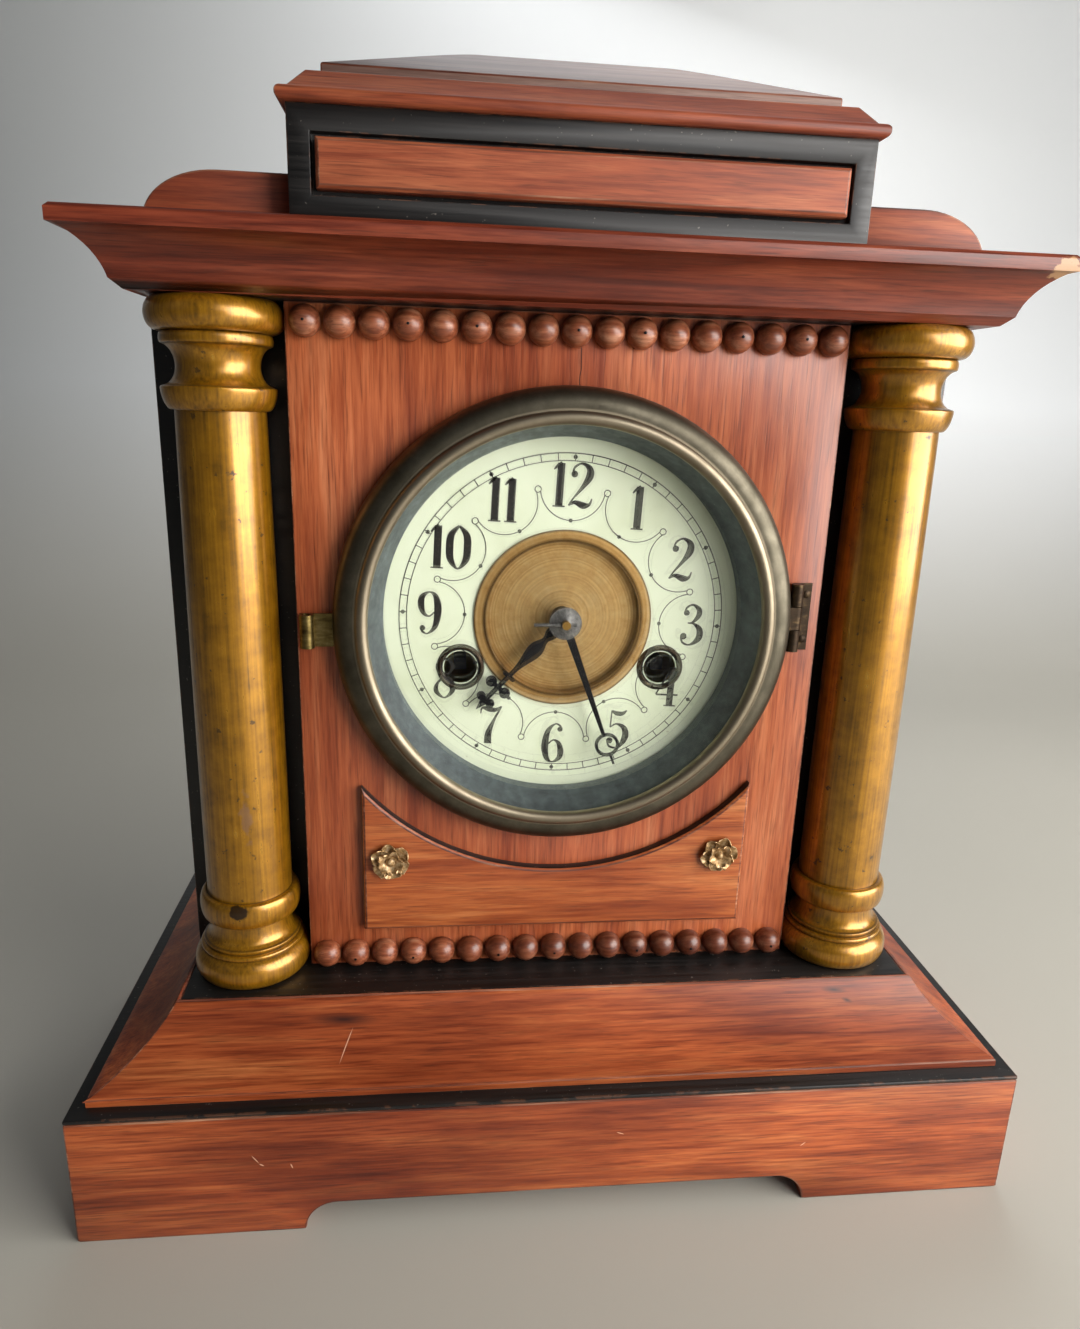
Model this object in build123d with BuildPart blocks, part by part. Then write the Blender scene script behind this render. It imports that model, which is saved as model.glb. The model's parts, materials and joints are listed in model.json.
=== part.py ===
from build123d import *
import os
from math import acos, asin, atan2, cos, degrees, hypot, radians, sin, sqrt

# Mantel clock with a temple front: two turned columns, a round bezel door and a spring movement.
# Millimetres, +Z up. The dial faces -Y and x = 0 is the middle of the clock.
# The origin is the middle of the rectangle that the plinth covers on the table.

# Plinth
plinth_height = 48.5
plinth_board = 14.0
foot_gap_half = 90.0
foot_gap_rise = 10.8

# Base board with its ledge, and the cove moulding round it
ledge_lip = 1.5
ledge_drop = 6.5
ledge_width = 5.7
base_rise = 23.0
base_inset = 2.7
cove_run = 25.5
cove_foot = 2.8
cove_head = 1.2
cove_sag = 2.6

# Carcass
case_back_gap = 6.0
side_board = 12.0
front_board_thickness = 18.0
back_board_thickness = 8.0
wing_setback = 19.0

# Front panel, its apron and the bead rows
panel_width = 185.0
panel_setback = 50.0
apron_width = 144.0
apron_bottom = 16.5
apron_waist = 24.0
apron_thickness = 4.0
apron_bezel_gap = 14.0
apron_bevel = 1.0
rosette_inset = 10.3
rosette_drop = 28.3
rosette_radius = 7.4
rosette_petal = 3.2
rosette_thickness = 1.8
rosette_boss = 2.6
rosette_petals = 6
bead_pitch = 10.75
bead_radius = 5.3
bead_sink = 1.2
bead_top_gap = 0.4
lower_bead_gap = 0.4

# Cornice
cornice_margin = 0.5
cornice_setback = 33.0
cornice_height = 20.0
cornice_run = 11.5
cornice_core_margin = 10.0
cornice_foot = 2.6
cornice_foot_in = 3.0
cornice_lip = 4.8
cornice_quirk = 1.3
cornice_ease = 1.2
cornice_sag = 1.9

# Attic block, its cap and roof, and the shoulders beside it
attic_width = 174.0
attic_setback = 33.0
attic_back_gap = 6.0
attic_height = 30.7
attic_wall = 9.0
attic_recess_margin = 6.5
attic_recess_height = 16.4
attic_recess_rise = 7.2
attic_recess_depth = 3.0
attic_inlay_gap = 1.4
attic_inlay_thickness = 5.0
attic_inlay_bevel = 1.0
cap_overhang = 2.6
cap_lip = 3.8
cap_round = 1.7
cap_ogee = 5.8
cap_ogee_run = 5.2
roof_margin = 9.0
roof_edge = 3.2
roof_rise = 20.1
roof_ridge = 24.0
roof_round_long = 90.0
roof_round_deep = 40.0
shoulder_inset = 7.5
shoulder_round = 22.0
shoulder_height = 14.5
shoulder_setback = 43.0

# Columns: turned base, shaft and capital, held by tenons
column_panel_gap = 0.4
column_margin = 24.4
column_gap = 0.3
capital_torus = 21.2
capital_torus_height = 10.4
capital_fillet = 17.2
capital_fillet_height = 3.6
capital_neck = 13.0
capital_neck_height = 12.4
capital_collar = 17.8
capital_collar_height = 7.4
shaft_top = 14.2
shaft_bottom = 15.1
foot_ring = 17.9
foot_ring_height = 10.0
foot_neck = 16.8
foot_throat = 14.0
foot_neck_height = 8.6
foot_fillet = 17.4
foot_fillet_height = 3.0
foot_torus = 21.0
foot_torus_height = 11.6
tenon_radius = 7.0
tenon_length = 12.0
tenon_clearance = 0.05
neck_hollow = 1.1
ring_crown = 1.5
collar_draw = 1.2
collar_crown = 0.7

# Bezel door and dial
bezel_radius = 80.0
bezel_head_gap = 22.5
bezel_gap = 0.4
bezel_rim = 1.4
bezel_flank = 7.0
bezel_rise = 9.0
bezel_round_out = 0.8
bezel_round_up = 0.7
bezel_lip_step = 3.0
bezel_lip_width = 4.4
bezel_lip_rise = 2.6
glass_lap = 0.2
glass_clearance = 0.3
glass_thickness = 2.0
sight_slope = 6.6
sight_wall = 0.8
sight_gap = 1.0
flange_inset = 2.5
pan_sheet = 0.8
pan_clearance = 0.2
pan_floor_lap = 5.6
hole_step = 0.2
dial_setback = 6.0
dial_sheet = 0.8
dial_clearance = 0.2
centre_dish = 28.5
centre_rim = 32.0
centre_depth = 3.0
centre_sheet = 0.6
winding_x = 36.5
winding_drop = 18.0
winding_hole = 6.0

# Bezel hinge on the right and finger tab on the left
hinge_barrel = 2.2
hinge_bore_gap = 0.06
hinge_pin = 1.1
hinge_length = 24.5
hinge_rise = 3.0
hinge_clear = 0.4
hinge_leaf_width = 6.0
hinge_leaf_sheet = 0.8
hinge_knuckle_gap = 0.3
tab_height = 11.5
tab_reach = 11.0
tab_sheet = 0.9
tab_drop = 2.5
tab_curl = 2.4

# Hands
hour_hand_length = 45.0
hour_hand_angle = 223.4
hour_profile = ((4.0, 1.2), (7.5, 1.9), (9.2, 1.2), (12.5, 2.3), (20.0, 1.7), (28.0, 0.9))
hour_collar = 5.4
hour_stem = 1.6
hour_lobes = ((33.6, 3.3, 2.0), (40.0, 2.2, 1.6))
hour_tip_from = 40.5
minute_hand_gap = 6.6
minute_root = 1.6
minute_point = 0.4
minute_hand_angle = 159.4
hand_sheet = 0.8
hand_boss = 4.6
hour_hand_gap = 3.2
hand_step = 1.8
hand_fit = 0.02
hand_pipe_gap = 0.08
hand_pipe_wall = 1.0
cannon_tube = 2.3
dish_pipe_gap = 0.7
ring_inset = 8.0
ring_outer = 4.5
ring_inner = 3.4
collet_radius = 5.8
collet_rise = 1.2
collet_foot = 1.2
pin_radius = 0.6
pin_length = 15.0
pin_share = 0.75
arbor_tip = 1.4

# Movement plates
plate_gap = 4.0
plate_sheet = 1.5
plate_spacing = 33.5
plate_edge = 6.0
plate_drop = 57.5
plate_reach = 68.5
plate_corner = 8.0
stud_radius = 1.1
minute_wheel_gap = 0.6
hour_wheel_gap = 3.8
ear_reach = 14.0
ear_height = 14.0
ear_drop = 42.5
ear_rise = 47.5
ear_foot = 4.0
pillar_radius = 3.2
pillar_inset = 8.0
pillar_drop = 49.5
pillar_rise = 58.5
pivot_radius = 0.7
pivot_clearance = 0.06
pivot_stub = 0.6

# Wheel trains: teeth, module in millimetres and bearing angles in degrees
great_teeth = 60
great_pinion_teeth = 10
great_module = 0.9
second_teeth = 48
second_pinion_teeth = 8
second_module = 0.93
centre_teeth = 60
third_pinion_teeth = 6
third_module = 0.66
third_teeth = 60
escape_pinion_teeth = 6
escape_module = 0.58
motion_module = 0.72
cannon_teeth = 10
minute_teeth = 30
minute_pinion_teeth = 8
hour_teeth = 32
strike_teeth = 48
warning_pinion_teeth = 8
strike_module = 0.85
warning_teeth = 48
fly_pinion_teeth = 6
fly_module = 0.56
third_bearing = 60.0
escape_bearing = 110.0
strike_bearing = 75.0
warning_bearing = 62.0
fly_bearing = 150.0
wheel_sheet = 1.1
great_sheet = 1.6
rim_share = 0.78
spoke_width = 2.4
wheel_spokes = 4
great_spokes = 5
hub_radius = 3.6
arbor_radius = 1.0
arbor_clear = 0.4
centre_arbor_radius = 1.5
pinion_length = 3.2
wheel_addendum = 0.72
wheel_dedendum = 1.15
wheel_tip_share = 0.10
wheel_root_share = 0.26
pinion_addendum = 0.55
pinion_dedendum = 1.2
pinion_tip_share = 0.11
pinion_root_share = 0.17

# Depths of the wheels behind the front plate's inner face
third_depth = 1.7
escape_depth = 4.4
great_depth = 6.6
ratchet_depth = 8.6
spring_depth = 10.4
warning_depth = 15.6
second_depth = 25.6
centre_depth_in = 28.6

# Winding arbors, ratchets and mainsprings
winding_arbor = 2.6
winding_square = 4.4
winding_hub = 4.2
winding_tip_gap = 5.0
ratchet_teeth = 16
ratchet_radius = 9.0
ratchet_tooth = 1.6
ratchet_sheet = 1.3
ratchet_lean = 0.08
spring_inner = 6.0
spring_pitch = 3.0
spring_halves = 11
spring_strip = 0.9
spring_width = 13.5
spring_pillar_gap = 0.2
spring_hook = 3.0

# Escapement and pendulum
escape_teeth = 45
escape_radius = 14.0
escape_tooth = 2.2
escape_rim = 0.72
escape_lean = 0.4
escape_back = 0.1
verge_rise = 19.0
verge_clear = 1.6
verge_sheet = 1.0
verge_span = 36.0
crutch_length = 40.0
crutch_wire = 1.0
crutch_clearance = 0.35
crutch_gap = 1.4
crutch_prong = 1.5
cock_width = 9.0
cock_sheet = 1.5
cock_rise = 5.0
cock_leg_gap = 0.4
pendulum_gap = 7.5
pendulum_floor_gap = 7.35
rod_radius = 1.2
eye_radius = 3.2
eye_thickness = 3.0
suspension_pin = 1.1
bob_radius = 17.0
bob_thickness = 10.0
bob_edge = 2.4
bob_swell = 4.4
nut_radius = 4.2
nut_thickness = 3.0
rod_tail = 4.0

# Strike work
lifting_pins = 8
lifting_pin_radius = 0.8
lifting_pin_inset = 2.9
lifting_pin_length = 1.5
fly_half = 8.5
fly_width = 10.0
fly_sheet = 0.7
fly_depth = 4.0
hammer_reach = 25.0
hammer_bearing = 161.2
hammer_tail = 5.5
hammer_wire = 1.25
hammer_arbor = 1.2
hammer_tail_width = 3.0
hammer_head = 4.5
hammer_head_length = 9.0
hammer_gong_gap = 2.0
gong_gap = 16.5
gong_back_gap = 14.0
gong_rise = 55.0
gong_inner = 5.0
gong_pitch = 5.8
gong_halves = 11
gong_strip = 2.4
gong_width = 3.2
gong_tail = 4.0
gong_post = 3.6
gong_post_gap = 0.4
gong_block = 7.0
gong_foot = 15.0
gong_foot_depth = 12.0
gong_foot_height = 5.0

# Back door
door_half = 75.0
door_bottom = 22.0
door_top_gap = 25.0
door_clearance = 0.9
door_barrel = 1.8
door_barrel_gap = 0.2
door_pin = 0.9
door_leaf_width = 12.0
door_leaf_sheet = 0.8
door_leaf_length = 25.0
door_hinge_inset = 35.0
button_offset = 9.0
button_half = 13.0
button_width = 8.0
button_sheet = 2.0
button_gap = 0.3
button_pivot = 2.0
button_pivot_gap = 0.06

# Places that follow from the sizes above
bezel_shoulder = bezel_radius - bezel_flank
bezel_lip_radius = bezel_shoulder - bezel_lip_step
glass_seat = bezel_lip_radius + glass_lap
panel_hole = glass_seat + hole_step
sight_inner = glass_seat - sight_slope
minute_hand_length = sight_inner - minute_hand_gap
apron_arc = bezel_radius + apron_bezel_gap
dial_rise = apron_bottom + apron_waist + apron_arc
case_height = dial_rise + bezel_radius + bezel_head_gap
column_x = panel_width / 2 + column_panel_gap + capital_torus
case_half = column_x + column_margin
base_half = case_half - base_inset
plinth_width = 2 * (base_half + cove_run + ledge_width)
movement_depth = plate_gap + 2 * plate_sheet + plate_spacing + gong_gap + gong_back_gap
case_depth = wing_setback + front_board_thickness + movement_depth + back_board_thickness
plinth_depth = panel_setback + case_depth + case_back_gap
plinth_front = -plinth_depth / 2
ledge_top = plinth_height + ledge_lip
deck_top = ledge_top + base_rise
case_top = deck_top + case_height
case_back = plinth_depth / 2 - case_back_gap
panel_face = plinth_front + panel_setback
wing_face = panel_face + wing_setback
board_back = wing_face + front_board_thickness
back_board_front = case_back - back_board_thickness
base_front = plinth_front + ledge_width + cove_run
dial_z = deck_top + dial_rise
dial_face = panel_face + dial_setback
column_y = wing_face - column_gap - shaft_bottom
cornice_front = plinth_front + cornice_setback
cornice_top = case_top + cornice_height
attic_front = plinth_front + attic_setback
attic_back = case_back - attic_back_gap
attic_depth = attic_back - attic_front
attic_recess_width = attic_width - 2 * attic_recess_margin
attic_top = cornice_top + attic_height
cap_top = attic_top + cap_lip + cap_ogee
shoulder_end = case_half - shoulder_inset
shoulder_flat = shoulder_end - shoulder_round
plate_front = board_back + plate_gap
plate_inner = plate_front + plate_sheet
back_plate_front = plate_inner + plate_spacing
back_plate_back = back_plate_front + plate_sheet
pendulum_y = back_plate_back + pendulum_gap
gong_y = back_plate_back + gong_gap


def facing(depth):
    # Sketch plane at this depth, seen from the front: local x is X, local y is Z
    return Plane.XZ.offset(-depth)


def at_bearing(centre, distance, bearing):
    return (
        centre[0] + distance * cos(radians(bearing)),
        centre[1] + distance * sin(radians(bearing)),
    )


def bearing_to(start, end):
    return degrees(atan2(end[1] - start[1], end[0] - start[0]))


def crossing(first, first_reach, second, second_reach):
    # The lower of the two points at these reaches from two centres
    apart = hypot(second[0] - first[0], second[1] - first[1])
    along = (first_reach**2 - second_reach**2 + apart**2) / (2 * apart)
    aside = sqrt(first_reach**2 - along**2)
    heading = (second[0] - first[0]) / apart, (second[1] - first[1]) / apart
    return (
        first[0] + along * heading[0] + aside * heading[1],
        first[1] + along * heading[1] - aside * heading[0],
    )


def meshed_phase(driver_teeth, driver_phase, teeth, bearing):
    # Angle of a tooth on the follower when its gap faces the driver's tooth
    driver_pitch = 360 / driver_teeth
    pitch = 360 / teeth
    offset = ((bearing - driver_phase) / driver_pitch) % 1
    return bearing + 180 + offset * pitch - pitch / 2


def tooth_points(centre, teeth, phase, corners):
    # Outline of a toothed rim; each corner is a radius and a share of the tooth pitch
    pitch = 360 / teeth
    points = []
    for tooth in range(teeth):
        for radius, share in corners:
            points.append(at_bearing(centre, radius, phase + (tooth + share) * pitch))
    return points


def add_toothed(points, centre, rim, hub, spokes, front, sheet):
    # Crossed-out wheel with its front face at this depth
    with BuildSketch(facing(front + sheet)) as blank:
        with BuildLine():
            Polyline(*points, close=True)
        make_face()
        with Locations(centre):
            Circle(rim, mode=Mode.SUBTRACT)
            Circle(hub)
            with PolarLocations(0, spokes):
                Rectangle(rim + spoke_width / 2, spoke_width, align=(Align.MIN, Align.CENTER))
    extrude(blank.sketch, amount=sheet)


def add_wheel(centre, teeth, module, phase, front, sheet, spokes, hub=hub_radius):
    radius = teeth * module / 2
    tip = radius + wheel_addendum * module
    root = radius - wheel_dedendum * module
    corners = (
        (root, -wheel_root_share),
        (tip, -wheel_tip_share),
        (tip, wheel_tip_share),
        (root, wheel_root_share),
    )
    points = tooth_points(centre, teeth, phase, corners)
    add_toothed(points, centre, radius * rim_share, hub, spokes, front, sheet)


def add_pinion(centre, teeth, module, phase, middle, length=pinion_length):
    # Leaves cut on the arbor, centred at this depth
    radius = teeth * module / 2
    tip = radius + pinion_addendum * module
    root = radius - pinion_dedendum * module
    corners = (
        (root, -pinion_root_share),
        (tip, -pinion_tip_share),
        (tip, pinion_tip_share),
        (root, pinion_root_share),
    )
    with BuildSketch(facing(middle + length / 2)) as blank:
        with BuildLine():
            Polyline(*tooth_points(centre, teeth, phase, corners), close=True)
        make_face()
    extrude(blank.sketch, amount=length)


def add_rod(centre, radius, front, back, mode=Mode.ADD):
    with BuildSketch(facing(back)) as section:
        with Locations(centre):
            Circle(radius)
    extrude(section.sketch, amount=back - front, mode=mode)


def add_block(low, high, mode=Mode.ADD):
    # Board with these lowest and highest corners
    middle = tuple((a + b) / 2 for a, b in zip(low, high))
    with Locations(middle):
        Box(*(b - a for a, b in zip(low, high)), mode=mode)


def add_arbor(centre):
    # Steel arbor between the plates, with a pivot in each
    add_rod(centre, arbor_radius, plate_inner + arbor_clear, back_plate_front - arbor_clear)
    add_rod(centre, pivot_radius, plate_front - pivot_stub, back_plate_back + pivot_stub)


def spiral_arcs(centre, inner, pitch, halves, bearing, shift):
    # Half circles that widen by half a pitch each, moved outward by the shift
    arcs = []
    hub = centre
    for half in range(halves):
        radius = inner + half * pitch / 2 + shift
        start = bearing + 180 * half
        arcs.append([at_bearing(hub, radius, start + turn) for turn in (0, 90, 180)])
        hub = at_bearing(hub, pitch / 2, start)
    return arcs


def add_strip(centre, inner, pitch, halves, bearing, strip, tail, front, width):
    # Flat strip wound on edge, with a straight tail at its outer end
    outside = spiral_arcs(centre, inner, pitch, halves, bearing, strip / 2)
    inside = spiral_arcs(centre, inner, pitch, halves, bearing, -strip / 2)
    heading = bearing + 180 * halves + 90
    with BuildSketch(facing(front + width)) as section:
        with BuildLine():
            for arc in outside + inside:
                ThreePointArc(*arc)
            Polyline(
                outside[-1][2],
                at_bearing(outside[-1][2], tail, heading),
                at_bearing(inside[-1][2], tail, heading),
                inside[-1][2],
            )
            Line(inside[0][0], outside[0][0])
        make_face()
    extrude(section.sketch, amount=width)


def least_gap(inner, pitch, halves, strip):
    # Smallest space between turns, measured on points of the centre line
    points = []
    next_turn = 27
    hub = (0, 0)
    for half in range(halves):
        start = 180 * half
        for turn in range(0, 180, 10):
            points.append(at_bearing(hub, inner + half * pitch / 2, start + turn))
        hub = at_bearing(hub, pitch / 2, start)
    apart = [
        hypot(here[0] - there[0], here[1] - there[1])
        for place, here in enumerate(points)
        for there in points[place + next_turn:]
    ]
    return min(apart) - strip


def add_post(centre, radius, low, high, mode=Mode.ADD):
    # Upright rod at this place in plan
    with BuildSketch(Plane.XY.offset(low)) as section:
        with Locations(centre):
            Circle(radius)
    extrude(section.sketch, amount=high - low, mode=mode)


def write(piece, name):
    piece.part.label = name
    export_step(piece.part, f"parts/{name}.step")


def write_group(pieces, name):
    group = Compound(label=name, children=[solid for piece in pieces for solid in piece.part.solids()])
    export_step(group, f"parts/{name}.step")


os.makedirs("parts", exist_ok=True)

# Plinth front board: mitred ends and a low arch between the feet
with BuildPart() as plinth_front_board:
    with BuildSketch():
        with BuildLine():
            Polyline(
                (-plinth_width / 2, plinth_front),
                (plinth_width / 2, plinth_front),
                (plinth_width / 2 - plinth_board, plinth_front + plinth_board),
                (-plinth_width / 2 + plinth_board, plinth_front + plinth_board),
                close=True,
            )
        make_face()
    extrude(amount=plinth_height)
    with BuildSketch(facing(plinth_front + plinth_board)):
        with BuildLine():
            arch_flat = foot_gap_half - foot_gap_rise
            Line((-foot_gap_half, 0), (foot_gap_half, 0))
            RadiusArc((foot_gap_half, 0), (arch_flat, foot_gap_rise), -foot_gap_rise)
            Line((arch_flat, foot_gap_rise), (-arch_flat, foot_gap_rise))
            RadiusArc((-arch_flat, foot_gap_rise), (-foot_gap_half, 0), -foot_gap_rise)
        make_face()
    extrude(amount=plinth_board, mode=Mode.SUBTRACT)
write(plinth_front_board, "plinth_front_board")

# Plinth side boards, mitred to the front one
with BuildPart() as plinth_side_boards:
    with BuildSketch():
        with BuildLine():
            Polyline(
                (plinth_width / 2, plinth_front),
                (plinth_width / 2, -plinth_front),
                (plinth_width / 2 - plinth_board, -plinth_front),
                (plinth_width / 2 - plinth_board, plinth_front + plinth_board),
                close=True,
            )
        make_face()
    extrude(amount=plinth_height)
    mirror(about=Plane.YZ)
write(plinth_side_boards, "plinth_side_boards")

# Base board: thin ledge over the plinth, a rebate inside it, and the deck
with BuildPart() as base_board:
    inside = plinth_width / 2 - plinth_board
    add_block((-plinth_width / 2, plinth_front, plinth_height), (plinth_width / 2, -plinth_front, ledge_top))
    rebate_low = plinth_height - ledge_drop
    add_block((-inside, plinth_front + plinth_board, rebate_low), (inside, -plinth_front, plinth_height))
    add_block((-base_half, base_front, ledge_top), (base_half, case_back, deck_top))
write(base_board, "base_board")


def cove_outline(face, way):
    # Section of the base moulding, from the deck's edge outward
    foot = face + way * cove_run
    head = face + way * cove_head
    low = ledge_top + cove_foot
    lean = hypot(foot - head, deck_top - low)
    middle = (
        (head + foot) / 2 - way * cove_sag * (deck_top - low) / lean,
        (deck_top + low) / 2 - cove_sag * abs(foot - head) / lean,
    )
    Polyline((head, deck_top), (face, deck_top), (face, ledge_top), (foot, ledge_top), (foot, low))
    ThreePointArc((foot, low), middle, (head, deck_top))


def mitre_plan(half, front, run):
    # Plan of a front moulding, widening to its outer edge at 45 degrees
    Polyline((-half, front), (half, front), (half + run, front - run), (-half - run, front - run), close=True)


def return_plan(half, front, run, back):
    Polyline((half, front), (half + run, front - run), (half + run, back), (half, back), close=True)


# Base moulding: a front length and two returns, mitred at the corners
with BuildPart() as base_cove_front:
    with BuildSketch(Plane.YZ.offset(-base_half - cove_run)):
        with BuildLine():
            cove_outline(base_front, -1)
        make_face()
    extrude(amount=2 * (base_half + cove_run))
    with BuildSketch(Plane.XY.offset(ledge_top)):
        with BuildLine():
            mitre_plan(base_half, base_front, cove_run)
        make_face()
    extrude(amount=base_rise, mode=Mode.INTERSECT)
with BuildPart() as base_cove_returns:
    with BuildSketch(facing(case_back)):
        with BuildLine():
            cove_outline(base_half, 1)
        make_face()
    extrude(amount=case_back - base_front + cove_run)
    with BuildSketch(Plane.XY.offset(ledge_top)):
        with BuildLine():
            return_plan(base_half, base_front, cove_run, case_back)
        make_face()
    extrude(amount=base_rise, mode=Mode.INTERSECT)
    mirror(about=Plane.YZ)
write_group((base_cove_front, base_cove_returns), "base_moulding")

# Front board: the ebonised board behind the columns, with the movement's hole
dial_centre_point = (0, dial_z)
with BuildPart() as front_board:
    add_block((-case_half, wing_face, deck_top), (case_half, board_back, case_top))
    add_rod(dial_centre_point, panel_hole, wing_face, board_back, Mode.SUBTRACT)
write(front_board, "front_board")

with BuildPart() as case_side_boards:
    add_block((case_half - side_board, board_back, deck_top), (case_half, case_back, case_top))
    mirror(about=Plane.YZ)
write(case_side_boards, "case_side_boards")

# Front panel: the veneered block that carries the bezel
with BuildPart() as front_panel:
    add_block((-panel_width / 2, panel_face, deck_top), (panel_width / 2, wing_face, case_top))
    add_rod(dial_centre_point, panel_hole, panel_face, wing_face, Mode.SUBTRACT)
write(front_panel, "front_panel")

# Apron: low panel under the bezel, with a top edge that follows the dial
apron_base = deck_top + apron_bottom
apron_corner = dial_z - sqrt(apron_arc**2 - (apron_width / 2) ** 2)
with BuildPart() as apron_panel:
    with BuildSketch(facing(panel_face)):
        with BuildLine():
            Polyline(
                (apron_width / 2, apron_corner),
                (apron_width / 2, apron_base),
                (-apron_width / 2, apron_base),
                (-apron_width / 2, apron_corner),
            )
            ThreePointArc(
                (-apron_width / 2, apron_corner), (0, dial_z - apron_arc), (apron_width / 2, apron_corner)
            )
        make_face()
    extrude(amount=apron_thickness)
    chamfer(apron_panel.faces().sort_by(Axis.Y)[0].edges(), apron_bevel)
write(apron_panel, "apron_panel")

# Rosettes: stamped brass flowers nailed to the apron
with BuildPart() as apron_rosettes:
    rosette_x = apron_width / 2 - rosette_inset
    rosette_z = apron_corner - rosette_drop
    rosette_face = panel_face - apron_thickness
    with BuildSketch(facing(rosette_face)):
        with Locations((rosette_x, rosette_z)):
            Circle(rosette_radius - rosette_petal)
            with PolarLocations(rosette_radius - rosette_petal, rosette_petals):
                Circle(rosette_petal)
    extrude(amount=rosette_thickness)
    with Locations((rosette_x, rosette_face - rosette_thickness, rosette_z)):
        Sphere(rosette_boss)
    add_block(
        (rosette_x - rosette_radius, rosette_face, deck_top),
        (rosette_x + rosette_radius, rosette_face + rosette_boss, case_top),
        Mode.SUBTRACT,
    )
    mirror(about=Plane.YZ)
write(apron_rosettes, "apron_rosettes")

# Bead rows: turned half beads under the cornice and above the deck
with BuildPart() as bead_rows:
    bead_count = int((panel_width - 2 * bead_radius) // bead_pitch) + 1
    upper_bead = case_top - bead_radius - bead_top_gap
    lower_bead = deck_top + bead_radius + lower_bead_gap
    for row in (upper_bead, lower_bead):
        with Locations((0, panel_face - bead_sink, row)):
            with GridLocations(bead_pitch, bead_pitch, bead_count, 1):
                Sphere(bead_radius)
    add_block(
        (-panel_width / 2, panel_face, deck_top),
        (panel_width / 2, panel_face + bead_radius, case_top),
        Mode.SUBTRACT,
    )
write(bead_rows, "bead_rows")

# Cornice: a core board with a mitred cove moulding on three sides
core_half = case_half + cornice_margin - cornice_core_margin
core_front = cornice_front + cornice_core_margin
cornice_reach = cornice_core_margin + cornice_run
with BuildPart() as top_board:
    add_block((-core_half, core_front, case_top), (core_half, case_back, cornice_top))
write(top_board, "top_board")


def cornice_outline(face, way):
    # Section of the cornice: small foot, cove, quirk and a square lip with an eased top edge
    foot = face + way * cornice_core_margin
    inset = foot - way * cornice_foot_in
    low = case_top + cornice_foot
    nose = foot + way * cornice_run
    edge = nose - way * cornice_quirk
    high = cornice_top - cornice_lip
    lean = hypot(edge - foot, high - low)
    middle = (
        (foot + edge) / 2 - way * cornice_sag * (high - low) / lean,
        (low + high) / 2 + cornice_sag * abs(edge - foot) / lean,
    )
    eased = nose - way * cornice_ease
    Polyline((eased, cornice_top), (face, cornice_top), (face, case_top), (inset, case_top), (foot, low))
    ThreePointArc((foot, low), middle, (edge, high))
    Polyline((edge, high), (nose, high), (nose, cornice_top - cornice_ease), (eased, cornice_top))


with BuildPart() as cornice_front_length:
    with BuildSketch(Plane.YZ.offset(-core_half - cornice_reach)):
        with BuildLine():
            cornice_outline(core_front, -1)
        make_face()
    extrude(amount=2 * (core_half + cornice_reach))
    with BuildSketch(Plane.XY.offset(case_top)):
        with BuildLine():
            mitre_plan(core_half, core_front, cornice_reach)
        make_face()
    extrude(amount=cornice_height, mode=Mode.INTERSECT)
with BuildPart() as cornice_returns:
    with BuildSketch(facing(case_back)):
        with BuildLine():
            cornice_outline(core_half, 1)
        make_face()
    extrude(amount=case_back - core_front + cornice_reach)
    with BuildSketch(Plane.XY.offset(case_top)):
        with BuildLine():
            return_plan(core_half, core_front, cornice_reach, case_back)
        make_face()
    extrude(amount=cornice_height, mode=Mode.INTERSECT)
    mirror(about=Plane.YZ)
write_group((cornice_front_length, cornice_returns), "cornice_moulding")

# Shoulders: blocks beside the attic that round down to the cornice
with BuildPart() as shoulder_blocks:
    with BuildSketch(facing(attic_back)):
        with BuildLine():
            shoulder_top = cornice_top + shoulder_height
            Polyline(
                (shoulder_flat, shoulder_top),
                (attic_width / 2, shoulder_top),
                (attic_width / 2, cornice_top),
                (shoulder_end, cornice_top),
            )
            EllipticalCenterArc(
                (shoulder_flat, cornice_top), shoulder_end - shoulder_flat, shoulder_height, 0, arc_size=90
            )
        make_face()
    extrude(amount=attic_back - plinth_front - shoulder_setback)
    mirror(about=Plane.YZ)
write(shoulder_blocks, "shoulder_blocks")

# Attic: an open-bottomed box with a recess for its inlay
recess_low = cornice_top + attic_recess_rise
recess_high = recess_low + attic_recess_height
with BuildPart() as attic_box:
    add_block((-attic_width / 2, attic_front, cornice_top), (attic_width / 2, attic_back, attic_top))
    add_block(
        (-attic_width / 2 + attic_wall, attic_front + attic_wall, cornice_top),
        (attic_width / 2 - attic_wall, attic_back - attic_wall, attic_top - attic_wall),
        Mode.SUBTRACT,
    )
    add_block(
        (-attic_recess_width / 2, attic_front, recess_low),
        (attic_recess_width / 2, attic_front + attic_recess_depth, recess_high),
        Mode.SUBTRACT,
    )
write(attic_box, "attic_box")

with BuildPart() as attic_inlay:
    inlay_half = attic_recess_width / 2 - attic_inlay_gap
    inlay_back = attic_front + attic_recess_depth
    add_block(
        (-inlay_half, inlay_back - attic_inlay_thickness, recess_low + attic_inlay_gap),
        (inlay_half, inlay_back, recess_high - attic_inlay_gap),
    )
    chamfer(attic_inlay.faces().sort_by(Axis.Y)[0].edges(), attic_inlay_bevel)
write(attic_inlay, "attic_inlay")

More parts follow.
